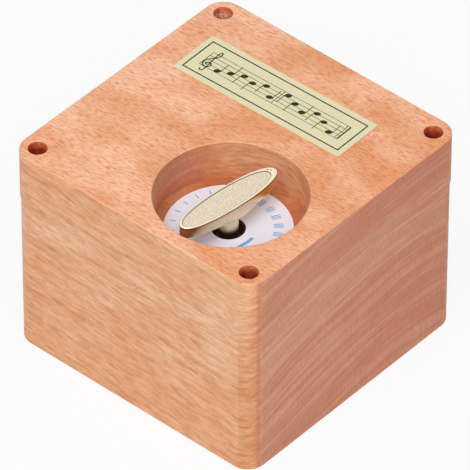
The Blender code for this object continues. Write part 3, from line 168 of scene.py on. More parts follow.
def noise(tree, place, sizes, detail=2.0, rough=0.5):
    """Soft noise from 0 to 1. Its sizes are three lengths in mm, or one for all."""
    sizes = sizes if isinstance(sizes, tuple) else (sizes, sizes, sizes)
    inputs = {"Vector": vectors(tree, "DIVIDE", place, sizes), "Scale": 1.0}
    inputs |= {"Detail": detail, "Roughness": rough}
    return add(tree, "ShaderNodeTexNoise", inputs).outputs["Fac"]


def plain_finish(name, colour, roughness, metallic=0.0):
    """A new material with its shader's main values set on the shader itself."""
    made = bpy.data.materials.new(name)
    made.use_nodes = True
    tree = made.node_tree
    shader = tree.nodes["Principled BSDF"]
    shader.inputs["Base Color"].default_value = (*colour, 1)
    shader.inputs["Roughness"].default_value = roughness
    shader.inputs["Metallic"].default_value = metallic
    return made, tree, shader


def feed(tree, shader, colour, roughness=None):
    """Links a colour, and where it varies a roughness too, to the shader."""
    tree.links.new(colour, shader.inputs["Base Color"])
    if roughness is not None:
        tree.links.new(roughness, shader.inputs["Roughness"])


def raise_surface(tree, shader, height, strength, depth):
    """Feeds a height to the shader as bump, with its depth in mm."""
    inputs = {"Height": height, "Strength": strength, "Distance": depth * MM}
    tree.links.new(add(tree, "ShaderNodeBump", inputs).outputs[0], shader.inputs["Normal"])


print("material helpers are ready")

# %% [markdown]
# ## Oiled beech
#
# Beech is a pale, pinkish wood. Its rays, thin sheets that run outwards from the heart of the
# tree, show as short dark dashes where the cut is along the grain, and its yearly rings show as
# soft bands. A picture of wood could be wrapped on each face, but it would not meet at the
# edges. A solid texture does: the colour is a function of the place in the block, so each cut
# shows what the saw would show.
#
# In this block the grain runs along +X and falls a little towards the front corner. The heart of
# the tree lay below the box, so the rings are wide, flat arcs. The top and the front show dashes,
# and the side at +X, which is end grain, shows the rings as lines.

# %% Beech: coordinates that follow the tree
GRAIN = (0.992, 0.033, -0.12)
HEART_Y = 14.0
HEART_DEPTH = 120.0
HEART_FALL = 0.031
WARP_SIZES = (46, 30, 19)
WARP = 3.5
FLAME_TILT = 0.03
DASH_TILT = 0.17
DASH_TURN = 0.128


def tree_directions(tree, place):
    """Three sets of coordinates in mm, the distance from the tree's heart, and the place."""
    parts = axes(tree, place)
    along = vectors(tree, "DOT_PRODUCT", place, GRAIN)
    beside = calc(tree, "SUBTRACT", parts["Y"], HEART_Y)
    fall = calc(tree, "MULTIPLY", parts["X"], HEART_FALL)
    above = calc(tree, "ADD", calc(tree, "ADD", parts["Z"], HEART_DEPTH), fall)
    out = vectors(tree, "LENGTH", joined(tree, 0.0, beside, above))
    wobble = noise(tree, place, WARP_SIZES, 1.0)
    warp = calc(tree, "MULTIPLY", calc(tree, "SUBTRACT", wobble, 0.5), WARP)
    level = calc(tree, "ADD", out, warp)
    across = calc(tree, "SUBTRACT", parts["Y"], calc(tree, "MULTIPLY", parts["X"], DASH_TURN))
    tilted = calc(tree, "ADD", out, calc(tree, "MULTIPLY", parts["X"], FLAME_TILT))
    steep = calc(tree, "ADD", out, calc(tree, "MULTIPLY", parts["X"], DASH_TILT))
    ways = {
        "grain": joined(tree, along, across, tilted),
        "rays": joined(tree, along, across, steep),
        "rings": joined(tree, along, parts["Y"], level),
    }
    return ways, level, parts


print("the grain runs along", GRAIN, "and the heart lies", HEART_DEPTH, "mm below the box")

# %% Beech: dashes, ring lines and faces
def dashes(tree, rays, sizes, share):
    """Slim dark marks, one in each stretched cell, and only in a share of the cells."""
    cell_place = vectors(tree, "DIVIDE", rays, sizes)
    inputs = {"Vector": cell_place, "Scale": 1.0, "Randomness": 1.0}
    cells = add(tree, "ShaderNodeTexVoronoi", inputs, feature="F1")
    mark = spread(tree, cells.outputs["Distance"], 0.30, 0.18)
    lot = axes(tree, cells.outputs["Color"])["X"]
    chosen = spread(tree, lot, 1 - share, 1 - share * 0.2)
    return calc(tree, "MULTIPLY", mark, chosen)


def ring_lines(tree, lines, width):
    """Thin lines where a ring noise crosses its middle value."""
    off_middle = calc(tree, "ABSOLUTE", calc(tree, "SUBTRACT", lines, 0.5))
    return spread(tree, off_middle, 0.0, width, 1.0, 0.0)


def facing(tree):
    """How far a face looks along X, along Y and along Z, from 0 to 1 each."""
    normal = add(tree, "ShaderNodeNewGeometry").outputs["Normal"]
    return axes(tree, vectors(tree, "ABSOLUTE", normal))


def between(tree, value, rising, falling):
    """A mask that fades in over one range and out over another."""
    return calc(tree, "MULTIPLY", spread(tree, value, *rising), spread(tree, value, *falling))


def times(tree, colour, tone):
    """Makes a colour lighter or darker by a tone near 1."""
    return blend(tree, 1.0, colour, tone, "MULTIPLY")


def toned(tree, share, colour, mask, low, high):
    """Tones a colour from low to high along a mask, but only by a share."""
    return blend(tree, share, colour, times(tree, colour, blend(tree, mask, low, high)))


print("beech helpers are ready")

# %% Beech: tables of its colours and marks
# The ground of each cut: a light and a dark colour, the shares of clouds and of pale rings in
# their mixture, and its drift along one axis, from place to place in mm and share to share. On
# the top that drift is painted shade, darker towards +X; the front darkens towards the bottom
# and the end towards the back.
GROUND = {
    "top": ((0.94, 0.535, 0.345), (0.82, 0.36, 0.178), 1.0, 0.0, ("X", -22, 30, -0.3, 0.42)),
    "front": ((0.90, 0.53, 0.33), (0.84, 0.425, 0.23), 0.75, 0.3, ("Z", 50, 0, -0.2, 0.35)),
    "end": ((0.77, 0.38, 0.255), (0.675, 0.277, 0.174), 0.3, 0.6, ("Y", -30, 30, -0.3, 0.25)),
}
# Each streak: its coordinates, sizes in mm, detail and roughness, the cut that shows it, and how
# its noise is read, over a range from low to high or as thin lines of a width.
STREAKS = {
    "bands": ("rings", (90, 60, 1.4), 3.0, 0.6, "end", 0.65, 0.35),
    "lines": ("rings", (90, 60, 1.4), 3.0, 0.6, "end", 0.035),
    "long_lines": ("rings", (70, 60, 3.4), 2.0, 0.5, "front", 0.025),
    "flames": ("grain", (4, 2, 0.8), 2.5, 0.6, "length", 0.35, 0.65),
    "fibres": ("grain", (1.6, 0.12, 0.5), 1.0, 0.5, "top", 0.36, 0.50),
    "specks": ("grain", (1.2, 0.28, 0.25), 3.0, 0.7, "side", 0.34, 0.66),
    "ribs": ("grain", (9, 0.26, 2.4), 1.0, 0.5, "end", 0.35, 0.65),
}
TONES = {
    "bands": ((0.90, 0.81, 0.75), (1.03, 1.06, 1.08)),
    "lines": ((1.01, 1.02, 1.02), (0.89, 0.76, 0.67)),
    "long_lines": ((1.01, 1.02, 1.02), (0.91, 0.80, 0.72)),
    "flames": ((0.89, 0.79, 0.71), (1.06, 1.11, 1.16)),
    "fibres": ((0.79, 0.54, 0.40), (1.02, 1.05, 1.07)),
    "specks": ((0.94, 0.89, 0.85), (1.04, 1.09, 1.12)),
    "ribs": ((0.95, 0.91, 0.88), (1.03, 1.07, 1.10)),
}
# Each kind of dash: sizes in mm, share of the cells, strength, and the cut that shows it.
DASHES = (
    ((2.5, 0.40, 1.4), 0.85, 0.68, "top"),
    ((7.0, 3.0, 1.15), 0.9, 0.42, "front"),
    ((3.6, 1.4, 0.6), 0.7, 0.32, "front"),
)
DASH_BROWN = (0.60, 0.12, 0.02)
CORNER_RED = (0.69, 0.28, 0.155)
CORNER_TONE = (0.88, 0.79, 0.71)
EDGE_HIGHLIGHT_TONE = (1.04, 1.10, 1.20)
TORN_WOOD = (1.0, 0.62, 0.48)
WHOLE = (1, 1, 1)
CLOUD_SIZES = (13, 9, 9)
PALE_RINGS = 157.0
PALE_REACH = (4.5, 8.0)
print("beech has", len(STREAKS), "kinds of streaks and", len(DASHES), "kinds of dashes")

# %% Beech: where each cut lies
SIDEWAYS = (0.75, 0.66, 0)


def cuts(tree, place, parts, bored):
    """Masks from 0 to 1 for the kinds of cut and for the rounded corners."""
    look = facing(tree)
    top = spread(tree, look["Z"], 0.5, 0.95)
    side = calc(tree, "SUBTRACT", 1.0, top)
    end = spread(tree, look["X"], *((0.80, 1.0) if bored else (0.965, 0.985)))
    on_right = spread(tree, parts["X"], 0, 5)
    on_front = calc(tree, "MULTIPLY", on_right, spread(tree, parts["Y"], 0, -5))
    strip = between(tree, look["X"], (0.86, 0.92), (0.985, 0.96))
    bend = between(tree, look["X"], (0.15, 0.30), (0.95, 0.90))
    # The edge mask marks the rounded corners at the sides for a painted highlight.
    sideways = vectors(tree, "DOT_PRODUCT", place, SIDEWAYS)
    far_out = spread(tree, calc(tree, "ABSOLUTE", sideways), 20, 30)
    both = spread(tree, calc(tree, "MULTIPLY", look["X"], look["Y"]), 0.05, 0.35)
    return {
        "top": top,
        "side": side,
        "length": calc(tree, "SUBTRACT", side, end, clamp=True),
        "front": spread(tree, look["Y"], 0.3, 0.8),
        "end": end,
        "strip": calc(tree, "MULTIPLY", strip, on_right),
        "bend": calc(tree, "MULTIPLY", bend, on_front),
        "edge": calc(tree, "MULTIPLY", both, far_out),
    }


print("masks for the cuts are ready")

# %% Beech: the layers of its colour
def beech_ground(tree, place, level, parts, cut):
    """The slow changes of colour: clouds, pale rings, and the tone of each cut."""
    clouds = noise(tree, place, CLOUD_SIZES, 1.5)
    cloud = spread(tree, clouds, 0.36, 0.64)
    off_pale = calc(tree, "ABSOLUTE", calc(tree, "SUBTRACT", level, PALE_RINGS))
    zone = spread(tree, off_pale, *PALE_REACH)
    colour = None
    for where, (light, dark, clouded, ringed, (axis, *drift)) in GROUND.items():
        mixed = calc(tree, "MULTIPLY", cloud, clouded)
        mixed = calc(tree, "ADD", mixed, calc(tree, "MULTIPLY", zone, ringed))
        # On the top this drift is painted shade, darker towards +X.
        share = calc(tree, "ADD", mixed, spread(tree, parts[axis], *drift), clamp=True)
        shade = blend(tree, share, light, dark)
        colour = shade if colour is None else blend(tree, cut[where], colour, shade)
    return colour


def beech_corners(tree, colour, rings, parts, cut):
    """Red strip and orange bend at the front corner; painted highlight on the side corners."""
    waves = noise(tree, rings, (60, 60, 2.6), 1.0)
    deep = spread(tree, parts["Z"], 39, 36, 0.1, 0.8)
    share = calc(tree, "ADD", deep, spread(tree, waves, 0.35, 0.65, -0.25, 0.35), clamp=True)
    share = calc(tree, "MULTIPLY", share, cut["bend"])
    colour = blend(tree, share, colour, times(tree, colour, CORNER_TONE))
    colour = blend(tree, cut["strip"], colour, CORNER_RED)
    # Painted highlight: the side corners are made paler, as if they caught the white around them.
    return blend(tree, cut["edge"], colour, times(tree, colour, EDGE_HIGHLIGHT_TONE))


def beech_streaks(tree, colour, ways, cut):
    """Lays every streak of the table over the colour, and returns their noises too."""
    noises = {}
    for name, (way, sizes, detail, rough, where, *reading) in STREAKS.items():
        noises[name] = noise(tree, ways[way], sizes, detail, rough)
        mask = (spread if len(reading) == 2 else ring_lines)(tree, noises[name], *reading)
        colour = toned(tree, cut[where], colour, mask, *TONES[name])
    return colour, noises


def beech_dashes(tree, rays, cut):
    """Short fine dashes on the top, longer and fainter ones on the front, none on end grain."""
    total = 0.0
    for sizes, share, strength, where in DASHES:
        mark = calc(tree, "MULTIPLY", dashes(tree, rays, sizes, share), strength)
        total = calc(tree, "ADD", calc(tree, "MULTIPLY", mark, cut[where]), total, clamp=True)
    return calc(tree, "MULTIPLY", total, calc(tree, "SUBTRACT", 1.0, cut["end"]))


def bore_shade_and_torn_wood(tree, colour, place, parts, cut, bored):
    """Painted shade that deepens down a bored hole, and torn fibres where the drill left them."""
    low, high, below, above, floor_shade, torn = bored
    # Painted shade: darker towards the bottom of the hole, and on its floor.
    colour = times(tree, colour, blend(tree, spread(tree, parts["Z"], low, high), below, above))
    colour = times(tree, colour, blend(tree, cut["top"], WHOLE, floor_shade))
    if torn is None:
        return colour
    rough = noise(tree, place, (0.6, 0.6, 0.5), 3.0, 0.7)
    patchy = blend(tree, spread(tree, rough, 0.35, 0.6), (0.72, 0.62, 0.57), (1.2, 1.2, 1.2))
    colour = times(tree, colour, patchy)
    low_part = spread(tree, parts["Z"], 49.8, 48.9)
    share = calc(tree, "MULTIPLY", spread(tree, rough, 0.42, 0.55), low_part)
    return blend(tree, calc(tree, "MULTIPLY", share, torn), colour, TORN_WOOD)


print("beech layers are ready")

# %% Beech: the whole finish
def oiled_beech(name, bored=None):
    """The finish of every wooden face. Bored holes get painted shade on their walls and floors."""
    made, tree, shader = plain_finish(name, GROUND["top"][0], 0.55)
    place = millimetres(tree)
    ways, level, parts = tree_directions(tree, place)
    cut = cuts(tree, place, parts, bored)
    colour = beech_ground(tree, place, level, parts, cut)
    if not bored:
        colour = beech_corners(tree, colour, ways["rings"], parts, cut)
    colour, noises = beech_streaks(tree, colour, ways, cut)
    dash = beech_dashes(tree, ways["rays"], cut)
    colour = blend(tree, dash, colour, DASH_BROWN)
    if bored:
        colour = bore_shade_and_torn_wood(tree, colour, place, parts, cut, bored)
    specular, dull, glossy = (0.35, 0.44, 0.36) if bored else (0.25, 0.6, 0.5)
    shader.inputs["Specular IOR Level"].default_value = specular
    gloss = spread(tree, noises["flames"], 0.3, 0.7, dull, glossy)
    feed(tree, shader, colour, gloss)
    height = calc(tree, "MULTIPLY", calc(tree, "SUBTRACT", noises["specks"], dash), 0.5)
    raise_surface(tree, shader, height, 0.14, 0.06)
    return made


# Each bore: the heights in mm between which its wall fades, its tone below and above them, the
# tone of its floor, and how much torn wood it shows, if the drill left any. The tones below and
# above and the floor's tone are painted shade, darker deep in each hole.
BORES = {
    "bored_beech": (41, 50, (0.84, 0.70, 0.60), (0.88, 0.79, 0.72), (0.74, 0.68, 0.64), None),
    "shaft_bore": (38, 42, (0.07, 0.035, 0.025), (0.15, 0.08, 0.05), WHOLE, None),
    "screw_bore": (48.9, 50.9, (0.46, 0.12, 0.08), (1.1, 0.66, 0.50), WHOLE, 0.0),
    "torn_bore": (48.9, 50.9, (0.72, 0.38, 0.29), (1.1, 0.66, 0.50), WHOLE, 1.0),
}
beech = oiled_beech("oiled_beech")
bored_woods = [oiled_beech(name, bored) for name, bored in BORES.items()]
print("beech has", len(beech.node_tree.nodes), "nodes, and", len(bored_woods), "woods are bored")

# %% [markdown]
# ## Helpers that make shapes
#
# Most wooden and metal pieces here are either a flat outline with thickness or a turned form. An
# outline can be drawn as points, made one face, and pulled up. A turned form is a profile spun
# about an axis, just as on a lathe. Holes are cut with the exact Boolean, and then the face
# normals are weighted by area, so that wide faces stay flat beside their rounded edges.

# %% Shape helpers
def smoothed(mesh, sharp_from=35):
    """Smooth shading, but for edges sharper than an angle in degrees."""
    mesh.shade_smooth()
    mesh.set_sharp_from_angle(angle=math.radians(sharp_from))


def to_object(name, shape, finish, sharp_from=35):
    """Turns a finished bmesh into an object with its finish."""
    bmesh.ops.recalc_face_normals(shape, faces=shape.faces)
    mesh = bpy.data.meshes.new(name)
    shape.to_mesh(mesh)
    shape.free()
    made = bpy.data.objects.new(name, mesh)
    bpy.context.scene.collection.objects.link(made)
    mesh.materials.append(finish)
    smoothed(mesh, sharp_from)
    return made


def quarter(steps):
    """Sines and cosines at even steps round a quarter turn."""
    turns = [i / steps * math.pi / 2 for i in range(steps + 1)]
    return [(math.sin(a), math.cos(a)) for a in turns]


def rounded_square(half, corner, steps):
    """Corner points of a square with rounded corners, one arc after the other."""
    points = []
    for turns, (sx, sy) in enumerate(((1, 1), (-1, 1), (-1, -1), (1, -1))):
        for i in range(steps + 1):
            a = (turns + i / steps) * math.pi / 2
            x = sx * (half - corner) + corner * math.cos(a)
            y = sy * (half - corner) + corner * math.sin(a)
            points.append((x, y))
    return points


def pulled_up(name, points, low, high, finish, top_round=0.0, low_round=0.0):
    """A flat outline with thickness, its upper and lower edges rounded."""
    shape = bmesh.new()
    face = shape.faces.new([shape.verts.new((x, y, low)) for x, y in points])
    grown = bmesh.ops.extrude_face_region(shape, geom=[face])["geom"]
    raised = [v for v in grown if isinstance(v, bmesh.types.BMVert)]
    bmesh.ops.translate(shape, verts=raised, vec=(0, 0, high - low))
    for level, width in ((high, top_round), (low, low_round)):
        if width:
            rim = [e for e in shape.edges if all(abs(v.co.z - level) < 1e-7 for v in e.verts)]
            bmesh.ops.bevel(shape, geom=rim, offset=width, segments=4, profile=0.5, affect="EDGES")
    return to_object(name, shape, finish)


def turned(name, profile, steps, finish, centre=(0, 0)):
    """A profile of (radius, height) points spun about an upright axis."""
    shape = bmesh.new()
    points = [shape.verts.new((radius, 0, height)) for radius, height in profile]
    edges = [shape.edges.new(pair) for pair in zip(points, points[1:])]
    bmesh.ops.spin(
        shape, geom=points + edges, cent=(0, 0, 0), axis=(0, 0, 1), angle=math.tau, steps=steps
    )
    bmesh.ops.remove_doubles(shape, verts=shape.verts, dist=1e-7)
    bmesh.ops.translate(shape, verts=shape.verts, vec=(*centre, 0))
    return to_object(name, shape, finish)


def cut_away(piece, tools):
    """Cuts the tools out of a piece, then keeps its wide faces flat beside rounded edges."""
    for tool in tools:
        step = piece.modifiers.new("cut", "BOOLEAN")
        step.operation = "DIFFERENCE"
        step.solver = "EXACT"
        step.object = tool
    bpy.context.view_layer.update()
    graph = bpy.context.evaluated_depsgraph_get()
    mesh = bpy.data.meshes.new_from_object(piece.evaluated_get(graph))
    finish = piece.data.materials[0]
    piece.modifiers.clear()
    piece.data = mesh
    mesh.materials.clear()
    mesh.materials.append(finish)
    smoothed(mesh)
    for tool in tools:
        bpy.data.objects.remove(tool)
    step = piece.modifiers.new("weighted_normals", "WEIGHTED_NORMAL")
    step.keep_sharp = True
    step.weight = 80


print("shape helpers are ready")

# %% [markdown]
# ## The cover
#
# The cover is a beech board, 12.5 mm thick, with the key's round recess bored most of the way
# through, a hole for the winding shaft and a counterbored hole for a screw in each corner. The
# CAD node has these forms with few facets. Here they are made again with rounder corners and a
# finely broken edge, because light runs along those edges in the photograph.

# %% Measure the CAD casing
cover_low, cover_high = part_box("cover_plate")
box_low, box_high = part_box("box_body")
disc_low, disc_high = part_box("recess_label")
SIDE = cover_high.x
TOP = cover_high.z
COVER_FROM = cover_low.z
BODY_SIDE = box_high.x
BODY_TOP = box_high.z
CORNER = 4.5 * MM
BROKEN_EDGE = 0.4 * MM
SEAM_EDGE = 0.12 * MM
RECESS = (10.3 * MM, -13.2 * MM)
RECESS_RADIUS = 16 * MM
RECESS_RIM = 0.3 * MM
PAPER_GAP = 0.04 * MM
RECESS_FLOOR = disc_low.z - PAPER_GAP
SHAFT = ((disc_low.x + disc_high.x) / 2, (disc_low.y + disc_high.y) / 2)
SHAFT_HOLE = 3.6 * MM
SCREW_REACH = 28.5 * MM
HEAD_HOLE = 2.05 * MM
HEAD_RIM = 0.15 * MM
HEAD_DEPTH = 7 * MM
SHANK_HOLE = 1.25 * MM
corners = [(sx * SCREW_REACH, sy * SCREW_REACH) for sx in (-1, 1) for sy in (-1, 1)]
print("cover from", round(COVER_FROM / MM, 2), "to", round(TOP / MM, 2), "shaft", SHAFT)

# %% Make the cover
def recess_cutter():
    """The bored recess. Its rim is broken by a small round."""
    profile = [(0, RECESS_FLOOR), (RECESS_RADIUS, RECESS_FLOOR)]
    for s, c in quarter(4):
        profile.append((RECESS_RADIUS + RECESS_RIM * (1 - c), TOP - RECESS_RIM * (1 - s)))
    profile += [(RECESS_RADIUS + RECESS_RIM, TOP + MM), (0, TOP + MM)]
    return turned("recess_cutter", profile, 128, beech, RECESS)


def screw_hole_cutter(x, y):
    """A counterbore for the head, and the shank's hole under it."""
    profile = [
        (0, COVER_FROM - MM),
        (SHANK_HOLE, COVER_FROM - MM),
        (SHANK_HOLE, TOP - HEAD_DEPTH),
        (HEAD_HOLE, TOP - HEAD_DEPTH),
        (HEAD_HOLE, TOP - HEAD_RIM),
        (HEAD_HOLE + HEAD_RIM, TOP),
        (HEAD_HOLE + HEAD_RIM, TOP + MM),
        (0, TOP + MM),
    ]
    return turned("screw_hole_cutter", profile, 40, beech, (x, y))


def round_cutter(name, radius, low, high, steps, centre):
    """A plain round hole."""
    return turned(name, [(0, low), (radius, low), (radius, high), (0, high)], steps, beech, centre)


cover = pulled_up(
    "cover", rounded_square(SIDE, CORNER, 16), COVER_FROM, TOP, beech, BROKEN_EDGE, SEAM_EDGE
)
shaft_cutter = round_cutter("shaft_hole_cutter", SHAFT_HOLE, COVER_FROM - MM, TOP, 48, SHAFT)
cut_away(cover, [recess_cutter(), shaft_cutter] + [screw_hole_cutter(*c) for c in corners])
for finish in bored_woods:
    cover.data.materials.append(finish)
RECESS_SLOT, SHAFT_SLOT, SCREW_SLOT, TORN_SLOT = 1, 2, 3, 4
back_hole = (-SCREW_REACH, SCREW_REACH)
bores = [(RECESS, RECESS_RADIUS + 0.02 * MM, RECESS_SLOT), (SHAFT, 3.65 * MM, SHAFT_SLOT)]
bores += [(c, 2.08 * MM, TORN_SLOT if c == back_hole else SCREW_SLOT) for c in corners]
for face in cover.data.polygons:
    x, y, z = face.center
    for middle, reach, slot in bores:
        if math.dist((x, y), middle) < reach and COVER_FROM + 0.05 * MM < z < TOP - 0.2 * MM:
            face.material_index = slot
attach(cover, "casing")
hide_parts("cover_plate")
print("cover has", len(cover.data.polygons), "faces")

# %% [markdown]
# ## The box
#
# The box is the same block of beech, routed hollow from its open side, so that the grain of the
# two runs on across the seam. Its walls are about 6 mm thick, its floor 11.9 mm. Nothing of the
# inside shows, but the cavity is cut all the same, because the movement hangs in it.

# %% Make the box
CAVITY_FLOOR = 11.9 * MM
CAVITY_SIDE = 26.5 * MM
CAVITY_CORNER = 8 * MM
PILOT_FROM = BODY_TOP - 9.5 * MM
outline = rounded_square(BODY_SIDE, CORNER - 0.2 * MM, 16)
box = pulled_up("box", outline, box_low.z, BODY_TOP, beech, SEAM_EDGE, BROKEN_EDGE)
outline = rounded_square(CAVITY_SIDE, CAVITY_CORNER, 12)
cavity = pulled_up("cavity_cutter", outline, CAVITY_FLOOR, BODY_TOP + MM, beech)
pilots = [round_cutter("pilot_cutter", SHANK_HOLE, PILOT_FROM, TOP, 24, c) for c in corners]
cut_away(box, [cavity] + pilots)
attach(box, "casing")
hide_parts("box_body")
print("box has", len(box.data.polygons), "faces")

# %% [markdown]
# ## Paper
#
# The disc on the recess floor is plain white printing paper, and the label on the cover is a
# pale yellow-green paper with a satin face. Paper at this size is almost even in colour. What
# makes it read as paper is a very fine mottle, a soft sheen and a thin real edge, so the shapes
# are thin solids that lie on the wood, and not painted areas.

# %% Paper finish
def paper(name, colour, roughness, mottle):
    """Paper with a fine mottle, which also makes its sheen and its relief."""
    made, tree, shader = plain_finish(name, colour, roughness)
    fibres = noise(tree, millimetres(tree), 0.35, 3.0)
    dark = tuple(v * (1 - mottle) for v in colour)
    mottled = blend(tree, spread(tree, fibres, 0.35, 0.65), dark, colour)
    sheen = spread(tree, fibres, 0.3, 0.7, roughness - 0.05, roughness + 0.05)
    feed(tree, shader, mottled, sheen)
    raise_surface(tree, shader, fibres, 0.08, 0.02)
    return made


def ink(name, colour):
    """Printing ink, a little uneven where the paper takes more of it."""
    made, tree, shader = plain_finish(name, colour, 0.55)
    shader.inputs["Specular IOR Level"].default_value = 0.2
    take = noise(tree, millimetres(tree), 0.2)
    lighter = tuple(v * 0.8 + 0.2 * 0.6 for v in colour)
    feed(tree, shader, blend(tree, spread(tree, take, 0.45, 0.8, 0.0, 0.2), colour, lighter))
    return made


white_paper = paper("white_paper", (0.86, 0.88, 1.0), 0.75, 0.04)
label_paper = paper("pale_label_paper", (0.78, 0.73, 0.458), 0.42, 0.06)
olive_ink = ink("olive_ink", (0.014, 0.011, 0.001))
blue_ink = ink("blue_ink", (0.16, 0.44, 0.80))
print("papers and inks are ready")

# %% [markdown]
# ## Printed shapes
#
# Print could be drawn by the paper's own material, but hard edges there need many nodes, and an
# exported model may lose them. Here each printed mark is a real film of ink, 0.012 mm thick,
# that lies on the paper. Strokes and dots are enough for rules, staff lines, notes and arrows.

# %% Helpers for ink
INK_THICK = 0.012 * MM


def lay_band(shape, points, width, level, closed=False):
    """Draws a line of even width on a level. Lines that cross lie on different levels."""
    line = [Vector(point) for point in points]
    last = len(line) - 1
    made = []
    for i, here in enumerate(line):
        into = (here - line[i - 1]).normalized() if closed or i else None
        out = (line[(i + 1) % len(line)] - here).normalized() if closed or i < last else None
        into, out = into or out, out or into
        middle = (into + out).normalized()
        side = Vector((-middle.y, middle.x))
        side *= width / 2 / max(0.3, side.dot(Vector((-into.y, into.x))))
        made.append([shape.verts.new((*place, level)) for place in (here + side, here - side)])
    for (a, b), (c, d) in zip(made, made[1:] + made[:1] if closed else made[1:]):
        shape.faces.new((a, b, d, c))


def lay_area(shape, points, level):
    """Draws a filled outline on a level."""
    shape.faces.new([shape.verts.new((x, y, level)) for x, y in points])


def printed(name, shape, finish):
    """Gives flat marks the thickness of a film of ink."""
    for face in shape.faces:
        face.normal_update()
        if face.normal.z < 0:
            face.normal_flip()
    grown = bmesh.ops.extrude_face_region(shape, geom=list(shape.faces))["geom"]
    raised = [v for v in grown if isinstance(v, bmesh.types.BMVert)]
    bmesh.ops.translate(shape, verts=raised, vec=(0, 0, INK_THICK))
    return to_object(name, shape, finish)


def ellipse(x, y, long_side, short_side, angle, steps=20):
    """Points of an ellipse that is turned by an angle."""
    points = []
    for i in range(steps):
        a = math.tau * i / steps
        u, v = long_side / 2 * math.cos(a), short_side / 2 * math.sin(a)
        across = x + u * math.cos(angle) - v * math.sin(angle)
        points.append((across, y + u * math.sin(angle) + v * math.cos(angle)))
    return points


print("ink helpers are ready")

# %% [markdown]
# ## The label on the cover
#
# The label is a strip of 44 by 12.8 mm, stuck on by hand and so turned by about one degree. It
# carries a thin frame and, as its decoration, a plain staff with a clef and a few notes that
# spell no tune. All marks are drawn in the label's own directions and turned with it at the end.

# %% Make the label
label_low, label_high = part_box("title_label")
LABEL_TURN = math.radians(1.2)
LABEL_LENGTH = 44 * MM
LABEL_WIDTH = 12.8 * MM
LABEL_MIDDLE = (label_low + label_high) / 2


def rectangle(half_x, half_y):
    """Corner points of a rectangle about the origin."""
    return [(sx * half_x, sy * half_y) for sx, sy in ((-1, -1), (1, -1), (1, 1), (-1, 1))]


def on_label(piece):
    """Turns a piece that was drawn about the origin and lays it in the label's place."""
    place = Matrix.Translation((LABEL_MIDDLE.x, LABEL_MIDDLE.y, 0))
    piece.data.transform(place @ Matrix.Rotation(LABEL_TURN, 4, "Z"))
    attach(piece, "casing")
    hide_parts("title_label")


outline = rectangle(LABEL_LENGTH / 2, LABEL_WIDTH / 2)
label = pulled_up("label", outline, label_low.z, label_high.z, label_paper)
on_label(label)
print("label thickness in mm", round((label_high.z - label_low.z) / MM, 3))

# %% Print the frame and the staff
PRINT_LEVEL = label_high.z
ABOVE = 0.002 * MM
FRAME_HALF = (20.6 * MM, 4.85 * MM)
FRAME_WIDTH = 0.3 * MM
LINE_GAP = 1.15 * MM
LINE_WIDTH = 0.12 * MM
STAFF_HALF = 18.3 * MM
BAR_WIDTH = 0.14 * MM
END_BAR_WIDTH = 0.34 * MM

frame_line = bmesh.new()
lay_band(frame_line, rectangle(*FRAME_HALF), FRAME_WIDTH, PRINT_LEVEL, closed=True)
on_label(printed("label_frame", frame_line, olive_ink))

staff = bmesh.new()
for line in range(-2, 3):
    y = line * LINE_GAP
    lay_band(staff, [(-STAFF_HALF, y), (STAFF_HALF, y)], LINE_WIDTH, PRINT_LEVEL)
bars = {-STAFF_HALF: BAR_WIDTH, 0.9 * MM: BAR_WIDTH, 17.6 * MM: BAR_WIDTH}
bars[STAFF_HALF] = END_BAR_WIDTH
for x, width in bars.items():
    lay_band(staff, [(x, -2 * LINE_GAP), (x, 2 * LINE_GAP)], width, PRINT_LEVEL + ABOVE)
on_label(printed("label_staff", staff, olive_ink))
print("staff printed, with", len(bars), "bars")

# %% Print the notes and their clef
CLEF = [
    (-0.05, -1.40), (-0.42, -1.05), (-0.05, -0.55), (0.55, -0.75), (0.75, -1.30), (0.15, -1.98),
    (-0.75, -1.60), (-0.98, -0.80), (-0.60, 0.10), (0.05, 0.90), (0.50, 1.60), (0.55, 2.40),
    (0.30, 2.85), (0.02, 2.45), (-0.02, 1.50), (0.12, 0.00), (0.30, -1.60), (0.38, -2.60),
    (0.15, -3.15), (-0.25, -3.10), (-0.35, -2.75),
]


def smooth_line(points, steps):
    """A curve through all points, each piece bent by its neighbours."""
    ends = [Vector(point) for point in (points[0], *points, points[-1])]
    curve = []
    for a, b, c, d in zip(ends, ends[1:], ends[2:], ends[3:]):
        for i in range(steps):
            t = i / steps
            bend = (2 * a - 5 * b + 4 * c - d) * t**2 + (3 * b - a - 3 * c + d) * t**3
            curve.append(b + ((c - a) * t + bend) / 2)
    return curve + [ends[-1]]


CLEF_AT = -17.0 * MM
CLEF_WIDTH = 0.27 * MM
NOTE_STEPS = [-3, -1, 1, 0, 2, -2, 3, 1, -1, 2, 0, -3]
FIRST_NOTE = -14.0
NOTE_GAP = 2.7
NOTE_HEAD = (1.55 * MM, 1.1 * MM, math.radians(22))
STEM_OFF = 0.66 * MM
NOTE_STEM = 3.1 * MM
NOTE_STEM_WIDTH = 0.17 * MM

clef = bmesh.new()
clef_line = [(CLEF_AT + x * LINE_GAP, y * LINE_GAP) for x, y in smooth_line(CLEF, 5)]
lay_band(clef, clef_line, CLEF_WIDTH, PRINT_LEVEL + 2 * ABOVE)
on_label(printed("label_clef", clef, olive_ink))

